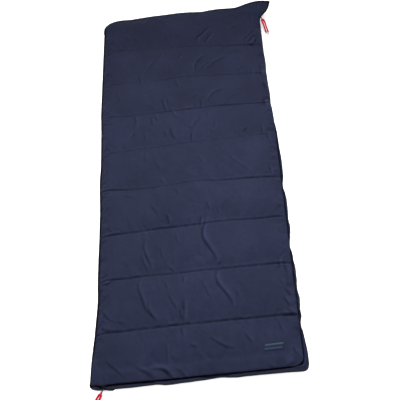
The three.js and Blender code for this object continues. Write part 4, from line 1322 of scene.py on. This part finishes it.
def front_binding():
    edge = MOUTH.copy()
    order = np.arange(len(edge))
    # the tape's centre lies a little inside the edge
    edge[:, 0] += np.interp(order, [0, 3, 5], [2.2, 1.8, 0.0])
    edge[:, 1] -= np.interp(order, [0, 5, 9], [1.0, 1.8, 2.6])
    edge[:, 2] += np.interp(order, [0, 5, 9], [0.6, 0.2, 0.0])
    tip = [(432.2, 940.2, 53.8), (432.6, 936.5, 53.8)]
    flap = FLAP_EDGE[-2:1:-1] - (2.2, 0, 0.2)
    tape = binding("mouth_binding_front_tape", np.vstack([edge[:-1], tip, flap]),
                   half_width=4.3, half_height=2.2, seed=64)
    place(tape, TRIM, "edge_trim", "mouth_binding_front", blend=FLAP_BLEND)


def back_binding():
    corner = MOUTH[:CORNER_END] + (0.8, -0.5, 0)
    corner[:, 2] = 25.0
    x = np.linspace(-312, 366, 60)
    straight = np.stack([x, back_mouth_y(x), np.full(60, 25.2)], 1)
    tape = binding("mouth_binding_back_tape", np.vstack([corner, straight]),
                   half_width=2.2, half_height=1.7, seed=65)
    place(tape, TRIM, "edge_trim", "mouth_binding_back", body="back_half")


front_binding()
back_binding()

# ---------------------------------------------------------------- zip coils
COIL_STEP, COIL_PITCH = 0.4, 2.6
COIL_HALF_WIDTH, COIL_HALF_HEIGHT, COIL_WIRE_RADIUS = 0.72, 0.68, 0.3


def zip_path():
    """the zip's line from the mouth, round the foot corner, to the sewn end of the foot"""
    side_y = np.arange(886.5, CORNER_Y + 2, -8)
    turn = np.radians(np.linspace(0, -88.4, 16))
    arc = np.stack([CORNER_X + CORNER_RADIUS * np.cos(turn),
                    CORNER_Y + CORNER_RADIUS * np.sin(turn)], 1)
    foot_x = np.append(np.arange(arc[-1, 0] - 6, -350.5, -8), -350.6)
    plan = np.vstack([np.stack([zip_x(side_y), side_y], 1), arc,
                      np.stack([foot_x, zip_y(foot_x)], 1)])
    return resample(np.column_stack([plan, np.zeros(len(plan))]), step=COIL_STEP)


def coil(half, z, phase):
    path = zip_path()
    turn = 2 * math.pi * np.arange(len(path)) * COIL_STEP / COIL_PITCH + phase
    side, _ = side_vectors(path)
    wire = path + side * (COIL_HALF_WIDTH * np.cos(turn))[:, None]
    wire[:, 2] += z + COIL_HALF_HEIGHT * np.sin(turn)
    teeth = new_object(f"zip_coil_{half}_teeth",
                       *tube(wire, COIL_WIRE_RADIUS, circle(5), up=(0.03, 0.02, 1)))
    place(teeth, COIL, "zip_coil", f"zip_coil_{half}", body=f"{half}_half")


coil("front", z=30.35, phase=0.0)
coil("back", z=26.65, phase=math.pi)


# ---------------------------------------------------------------- draught tube
def sleeve(name, half_width, half_height, wrinkle, seed):
    """a long closed tube along the inside of the zip"""
    y = np.arange(-879.0, 899.0, 4.0)
    centre = zip_x(y) - 19.3 + 1.2 * noise(y, 0.0, scale=120, seed=71)
    taper = np.clip(np.minimum(y + 881, 900 - y) / 14, 0.12, 1) ** 0.5
    cos, sin = circle(28).T
    shape_x, shape_z = rounded_square(28, 0.85).T
    ruffle = wrinkle * noise(y[:, None] + 9 * cos * 2, 37.0 * cos + 50 + 20 * sin,
                             scale=17, seed=seed)
    rings = np.zeros((len(y), 28, 3))
    rings[:, :, 0] = centre[:, None] + (half_width + ruffle) * shape_x * taper[:, None]
    rings[:, :, 1] = y[:, None]
    rings[:, :, 2] = MID_Z + (half_height + 0.8 * ruffle) * shape_z * taper[:, None]
    ends = [(centre[0], y[0] - 0.6, MID_Z), (centre[-1], y[-1] + 0.6, MID_Z)]
    return new_object(name, *capped(rings, ends))


place(sleeve("draught_tube_cloth", half_width=10.6, half_height=4.7, wrinkle=0.9, seed=72),
      LINING, "lining_fabric", "draught_tube_shell", body="back_half")
place(sleeve("draught_tube_batting", half_width=9.0, half_height=3.3, wrinkle=0.3, seed=73),
      BATTING, "insulation", "draught_tube_fill", body="back_half")


# ---------------------------------------------------------------- stitching
def stitch(start, end, radius, up):
    """one stitch: rises out of the cloth, runs along it and dips back in"""
    t = np.array([0, 0.16, 0.5, 0.84, 1.0])[:, None]
    lift = np.array([-0.55, 0.12, 0.26, 0.12, -0.55])
    path = start + (end - start) * t + np.array(up, float) * (lift * 2 * radius)[:, None]
    thickness = np.array([0.7, 1, 1.05, 1, 0.7]) * radius
    return tube(path, thickness, circle(6), up=(0.1, 0.05, 1))


def stitches(name, body, points, *replaces, radius=0.5, length=3.6, gap=1.7, up=(0, 0, 1)):
    spacing = 0.5
    path = resample(points, step=spacing)
    pitch, run = int(round((length + gap) / spacing)), int(round(length / spacing))
    parts = [stitch(path[i], path[i + run], radius, up)
             for i in range(0, len(path) - run, pitch)]
    place(merged_object(name, parts), THREAD, "quilt_thread", *replaces, body=body)


def quilt_stitches():
    back_tree = tree_of(BACK, wrap_v=True)
    for i, line_y in enumerate(ROW_LINES):
        row = FRONT[FRONT_ROWS[7 - i]]
        x = row[:, 0]
        inside = (x < float(zip_x(line_y(360.0))) - 4) & (x > x[0] + 3)
        points = row[inside] + np.array([0, 0, 0.1])
        stitches(f"front_quilt_stitch_row_{i + 1}", "front_half", points[::4],
                 f"front_quilt_stitch_{i + 1}")
        points = []
        for x in np.arange(-352.0, 348.0, 7.0):
            y = float(line_y(x))
            z = surface_z(back_tree, x, y, default=1.0, below=True)
            points.append((x, y, max(z - 0.45, 0.9)))
        stitches(f"back_quilt_stitch_row_{i + 1}", "back_half", np.array(points),
                 f"back_quilt_stitch_{i + 1}", up=(0, 0, -1))


quilt_stitches()

# ---------------------------------------------------------------- label: a patch near the foot
LABEL_CORNERS = np.array([(222.0, -879.0), (290.5, -876.5), (296.5, -846.0), (225.5, -850.0)])
LABEL_COLUMNS, LABEL_ROWS = 45, 19
# material slot, and the range of each stripe up and across the patch
LABEL_STRIPES = [(1, 0.68, 0.86, 0.05, 0.96), (2, 0.2, 0.36, 0.05, 0.9)]


def label_point(u, v):
    """plan position at fractions across and up the patch"""
    weights = ((1 - u) * (1 - v), u * (1 - v), u * v, (1 - u) * v)
    return sum(np.asarray(weight)[..., None] * corner
               for weight, corner in zip(weights, LABEL_CORNERS))


def label_patch():
    """builds the patch on the front cloth and returns its top grid"""
    across, up = np.meshgrid(np.linspace(0, 1, LABEL_COLUMNS), np.linspace(0, 1, LABEL_ROWS))
    plan = label_point(across, up)
    z = np.array([[surface_z(FRONT_TREE, x, y, default=56.0) for x, y in row] for row in plan])
    for _ in range(6):      # the patch bridges the small hollows
        smooth = z.copy()
        smooth[1:-1, 1:-1] = (z[1:-1, 1:-1] * 2 + z[:-2, 1:-1] + z[2:, 1:-1]
                              + z[1:-1, :-2] + z[1:-1, 2:]) / 6
        z = np.maximum(smooth, z - 0.15)
    edge = np.minimum(np.minimum(across, 1 - across) * 66, np.minimum(up, 1 - up) * 26)
    top = np.dstack([plan, z + 0.35 + 0.5 * unit(edge / 1.2) ** 0.5])
    label = slab_object("label_patch_cloth", top, np.dstack([plan, z + 0.12]))
    place(label, LABEL, "label", "label_patch", body="front_half")
    label.data.materials.append(STRIPE)
    label.data.materials.append(DIM_STRIPE)
    slots = np.zeros(len(label.data.polygons), int)
    for j in range(LABEL_ROWS - 1):
        for i in range(LABEL_COLUMNS - 1):
            u, v = (i + 0.5) / (LABEL_COLUMNS - 1), (j + 0.5) / (LABEL_ROWS - 1)
            for slot, low, high, left, right in LABEL_STRIPES:
                if low < v < high and left < u < right:
                    slots[j * (LABEL_COLUMNS - 1) + i] = slot
    label.data.polygons.foreach_set("material_index", slots)
    return top


def label_stitching(top):
    corners = [(0.02, 0.05), (0.98, 0.05), (0.98, 0.95), (0.02, 0.95)]
    ring = []
    for start, end in zip(corners, corners[1:] + corners[:1]):
        for t in np.linspace(0, 1, 24, endpoint=False):
            u = start[0] + (end[0] - start[0]) * t
            v = start[1] + (end[1] - start[1]) * t
            j, i = int(round(v * (LABEL_ROWS - 1))), int(round(u * (LABEL_COLUMNS - 1)))
            ring.append((*label_point(u, v), top[j, i, 2] + 0.12))
    stitches("label_stitching", "front_half", np.array(ring), radius=0.32, length=2.0, gap=1.0)


label_stitching(label_patch())

# ---------------------------------------------------------------- pullers
# A braided cord loop with a moulded end hangs on each tab. Its own frame has x along the
# cord from the tab's eye, y across it and z up.
CORD_LENGTH = 78
SAG_STATIONS = np.linspace(0, 1, 9)
SAG = [0, -0.4, -1.2, -2.6, -6.5, -13, -18.5, -20.6, -21.2]
# moulded blocks: (x, half width, half height)
KNOT = np.array([(2.7, 2.4, 0.9), (3.1, 3.8, 1.5), (4.2, 4.4, 1.8), (6, 4.5, 1.9),
                 (7.6, 4.4, 1.8), (8.6, 3.9, 1.5), (9.0, 2.6, 0.9)])
END_BAR = np.array([(80.8, 5.4, 1.0), (81.1, 6.6, 1.7), (82, 7.0, 2.0), (83, 7.1, 2.1),
                    (84, 7.0, 2.0), (84.9, 6.6, 1.7), (85.2, 5.4, 1.0)])
GRIP = np.array([(85.35, 6.2, 2.1), (85.7, 7.2, 2.8), (87, 7.6, 3.0), (89, 7.4, 2.95),
                 (89.6, 6.9, 2.6), (90.4, 6.9, 2.6), (91, 7.4, 2.9), (94, 7.2, 2.8),
                 (97, 6.8, 2.6), (99, 6.2, 2.3), (99.8, 5.4, 1.9), (100.1, 3.6, 1.0)])


def braided_cord(path, radius, lay):
    """a cord with two sets of strands crossing round it, one turn per lay"""
    spacing = 0.55
    path = resample(path, step=spacing)
    turn = 2 * math.pi * (np.arange(len(path)) * spacing)[:, None] / lay
    around = ring_angles(16)[None, :]
    side, above = side_vectors(path, up=(0.02, 0.03, 1))
    radii = radius * (0.93 + 0.05 * np.abs(np.cos(2 * around + turn))
                      + 0.05 * np.abs(np.cos(2 * around - turn)))
    rings = path[:, None, :] + radii[:, :, None] * (
        np.cos(around)[:, :, None] * side[:, None, :]
        + np.sin(around)[:, :, None] * above[:, None, :])
    return capped(rings, path[[0, -1]])


def block(stations, centre_z, power=3.2, around=28):
    """rounded-rectangle sections along x"""
    centre_z = np.broadcast_to(centre_z, len(stations))
    shape = rounded_square(around, 2 / power)
    rings = np.array([np.stack([np.full(around, x), half_y * shape[:, 0],
                                z + half_z * shape[:, 1]], 1)
                      for (x, half_y, half_z), z in zip(stations, centre_z)])
    ends = [(stations[k, 0], 0, centre_z[k]) for k in (0, -1)]
    return capped(rings, ends, flip=False)


def puller(unit_name, eye, direction):
    forward = np.array([*direction, 0.0])
    forward /= np.linalg.norm(forward)
    side = np.array([-forward[1], forward[0], 0.0])

    def world(points):
        x, y, z = np.asarray(points, float).T[:, :, None]
        return (np.array([*eye, MID_Z]) + (x * 0.9 + 0.3) * forward + y * side
                + z * np.array([0.0, 0.0, 1.0]))

    def world_block(*args, **shape):
        verts, faces = block(*args, **shape)
        return world(verts), faces

    sag_curve = resample(np.stack([SAG_STATIONS * CORD_LENGTH, SAG], 1), count=61)[:, 1]
    t = np.linspace(0, 1, 40)
    sag = np.interp(t, np.linspace(0, 1, 61), sag_curve)
    parts = []
    for sign in (-1, 1):    # two strands from the knot to the end bar
        y = sign * (3.8 + 1.2 * np.minimum(1, 4 * t) + 0.2 * np.sin(t * 9 + sign))
        strand = np.stack([6 + CORD_LENGTH * t, y, sag], 1)
        parts.append(braided_cord(world(strand), radius=3.9, lay=4.4))
    # the hitch round the tab's end bar, and its knot
    turn = np.linspace(math.radians(35), math.radians(325), 30)
    hitch = np.stack([3.1 * np.cos(turn), 3.1 * np.sin(turn) * 0.98, 0.15 * np.sin(3 * turn)], 1)
    parts.append(braided_cord(world(hitch), radius=1.2, lay=3.0))
    turn = np.linspace(0, 2 * math.pi, 40)
    for x in (4.2, 7.3):
        wrap = np.stack([x + 0.5 * np.sin(turn), 4.6 * np.cos(turn), 2.1 * np.sin(turn)], 1)
        parts.append(braided_cord(world(wrap), radius=1.15, lay=3.0))
    knot_z = np.interp((KNOT[:, 0] - 6) / CORD_LENGTH, SAG_STATIONS, SAG)
    parts.append(world_block(KNOT, knot_z))
    parts.append(world_block(END_BAR, SAG[-1]))
    body = f"{unit_name}_cord"
    place(merged_object(f"{unit_name}_pull_cord_loop", parts), CORD, "cord",
          f"{unit_name}_pull_cord", body=body)
    grip = world_block(GRIP, SAG[-1], power=2.8, around=36)
    place(new_object(f"{unit_name}_pull_cord_grip", *grip), CORD_END, "cord_end",
          f"{unit_name}_pull_cord_end", body=body)


puller("side", eye=(389.411, 847.337), direction=(0.2520, -0.9677))
puller("foot", eye=(-336.947, -975.606), direction=(-0.44507, -0.89550))

# ---------------------------------------------------------------- parts kept from the frame
# (material, bevel width in mm)
KEPT_PARTS = {
    "zip_tape_front": (TAPE, 0), "zip_tape_back": (TAPE, 0),
    "zip_top_stop_front": (METAL, 0.25), "zip_top_stop_back": (METAL, 0.25),
    "zip_retainer_box": (METAL, 0.3), "zip_insertion_pin": (METAL, 0.25),
    "side_slider_body": (METAL, 0.4), "foot_slider_body": (METAL, 0.4),
    "side_pull_tab": (METAL, 0.3), "foot_pull_tab": (METAL, 0.3)}
for name, (material, bevel_width) in KEPT_PARTS.items():
    part = frame["nodes"][name]
    paint(part, material)
    if bevel_width:
        bevel = part.modifiers.new("bevel", "BEVEL")
        bevel.width = bevel_width * MM
        bevel.segments = 3
        bevel.limit_method = "ANGLE"
        bevel.angle_limit = math.radians(30)
        part.modifiers.new("wn", "WEIGHTED_NORMAL").keep_sharp = True


# ---------------------------------------------------------------- stage, in metres
def link_new(name, data):
    obj = bpy.data.objects.new(name, data)
    bpy.context.scene.collection.objects.link(obj)
    return obj


def add_floor(half=40):
    mesh = bpy.data.meshes.new("floor")
    corners = [(-half, -half, 0), (half, -half, 0), (half, half, 0), (-half, half, 0)]
    mesh.from_pydata(corners, [], [(0, 1, 2, 3)])
    floor = link_new("floor", mesh)
    shader = Shader("floor_white")
    shader.surface({
        "Base Color": (0.92, 0.92, 0.92, 1),
        "Roughness": 0.9,
        "Specular IOR Level": 0.1,
        "Emission Color": (1, 1, 1, 1),
        "Emission Strength": 0.3})
    mesh.materials.append(shader.material)


def add_world(strength):
    world = bpy.data.worlds.new("world")
    bpy.context.scene.world = world
    world.use_nodes = True
    background = world.node_tree.nodes["Background"]
    background.inputs[0].default_value = (1, 1, 1, 1)
    background.inputs[1].default_value = strength


def area_light(name, location, target, size, power, spread=180):
    light = bpy.data.lights.new(name, "AREA")
    light.spread = math.radians(spread)
    light.shape = "RECTANGLE"
    light.size, light.size_y = size
    light.energy = power
    lamp = link_new(name, light)
    lamp.location = location
    lamp.rotation_mode = "QUATERNION"
    aim = Vector(target) - Vector(location)
    lamp.rotation_quaternion = aim.to_track_quat("-Z", "Y")


def add_camera(location, azimuth, pitch, roll, lens):
    """angles in degrees: azimuth turns from +Y towards -X, pitch looks down"""
    data = bpy.data.cameras.new("camera")
    camera = link_new("camera", data)
    bpy.context.scene.camera = camera
    azimuth, pitch, roll = (math.radians(angle) for angle in (azimuth, pitch, roll))
    forward = Vector((-math.sin(azimuth) * math.cos(pitch),
                      math.cos(azimuth) * math.cos(pitch), -math.sin(pitch)))
    level = Vector((math.cos(azimuth), math.sin(azimuth), 0))
    above = level.cross(forward)
    right = level * math.cos(roll) + above * math.sin(roll)
    up = -level * math.sin(roll) + above * math.cos(roll)
    pose = Matrix.Identity(4)
    for i, column in enumerate((right, up, -forward, location)):
        for j in range(3):
            pose[j][i] = column[j]
    camera.matrix_world = pose
    data.sensor_width = 36
    data.sensor_fit = "HORIZONTAL"
    data.lens = lens
    data.clip_start, data.clip_end = 0.05, 100


add_floor()
add_world(strength=1.08)
area_light("key", location=(0.15, 2.3, 2.9), target=(0.0, -0.65, 0), size=(1.5, 1.0),
           power=22, spread=44)
area_light("side", location=(2.9, -0.3, 1.7), target=(0.3, -0.3, 0), size=(2.6, 1.4), power=13)
area_light("fill", location=(-1.2, -2.3, 2.8), target=(-0.2, -0.3, 0), size=(3.0, 2.0), power=38)
add_camera(location=(0.1111, -1.8883, 2.3327), azimuth=2.56, pitch=53.83, roll=-6.71,
           lens=64.395)
view = bpy.context.scene.view_settings
view.view_transform = "Standard"
view.look = "None"
view.exposure = 0
view.gamma = 1
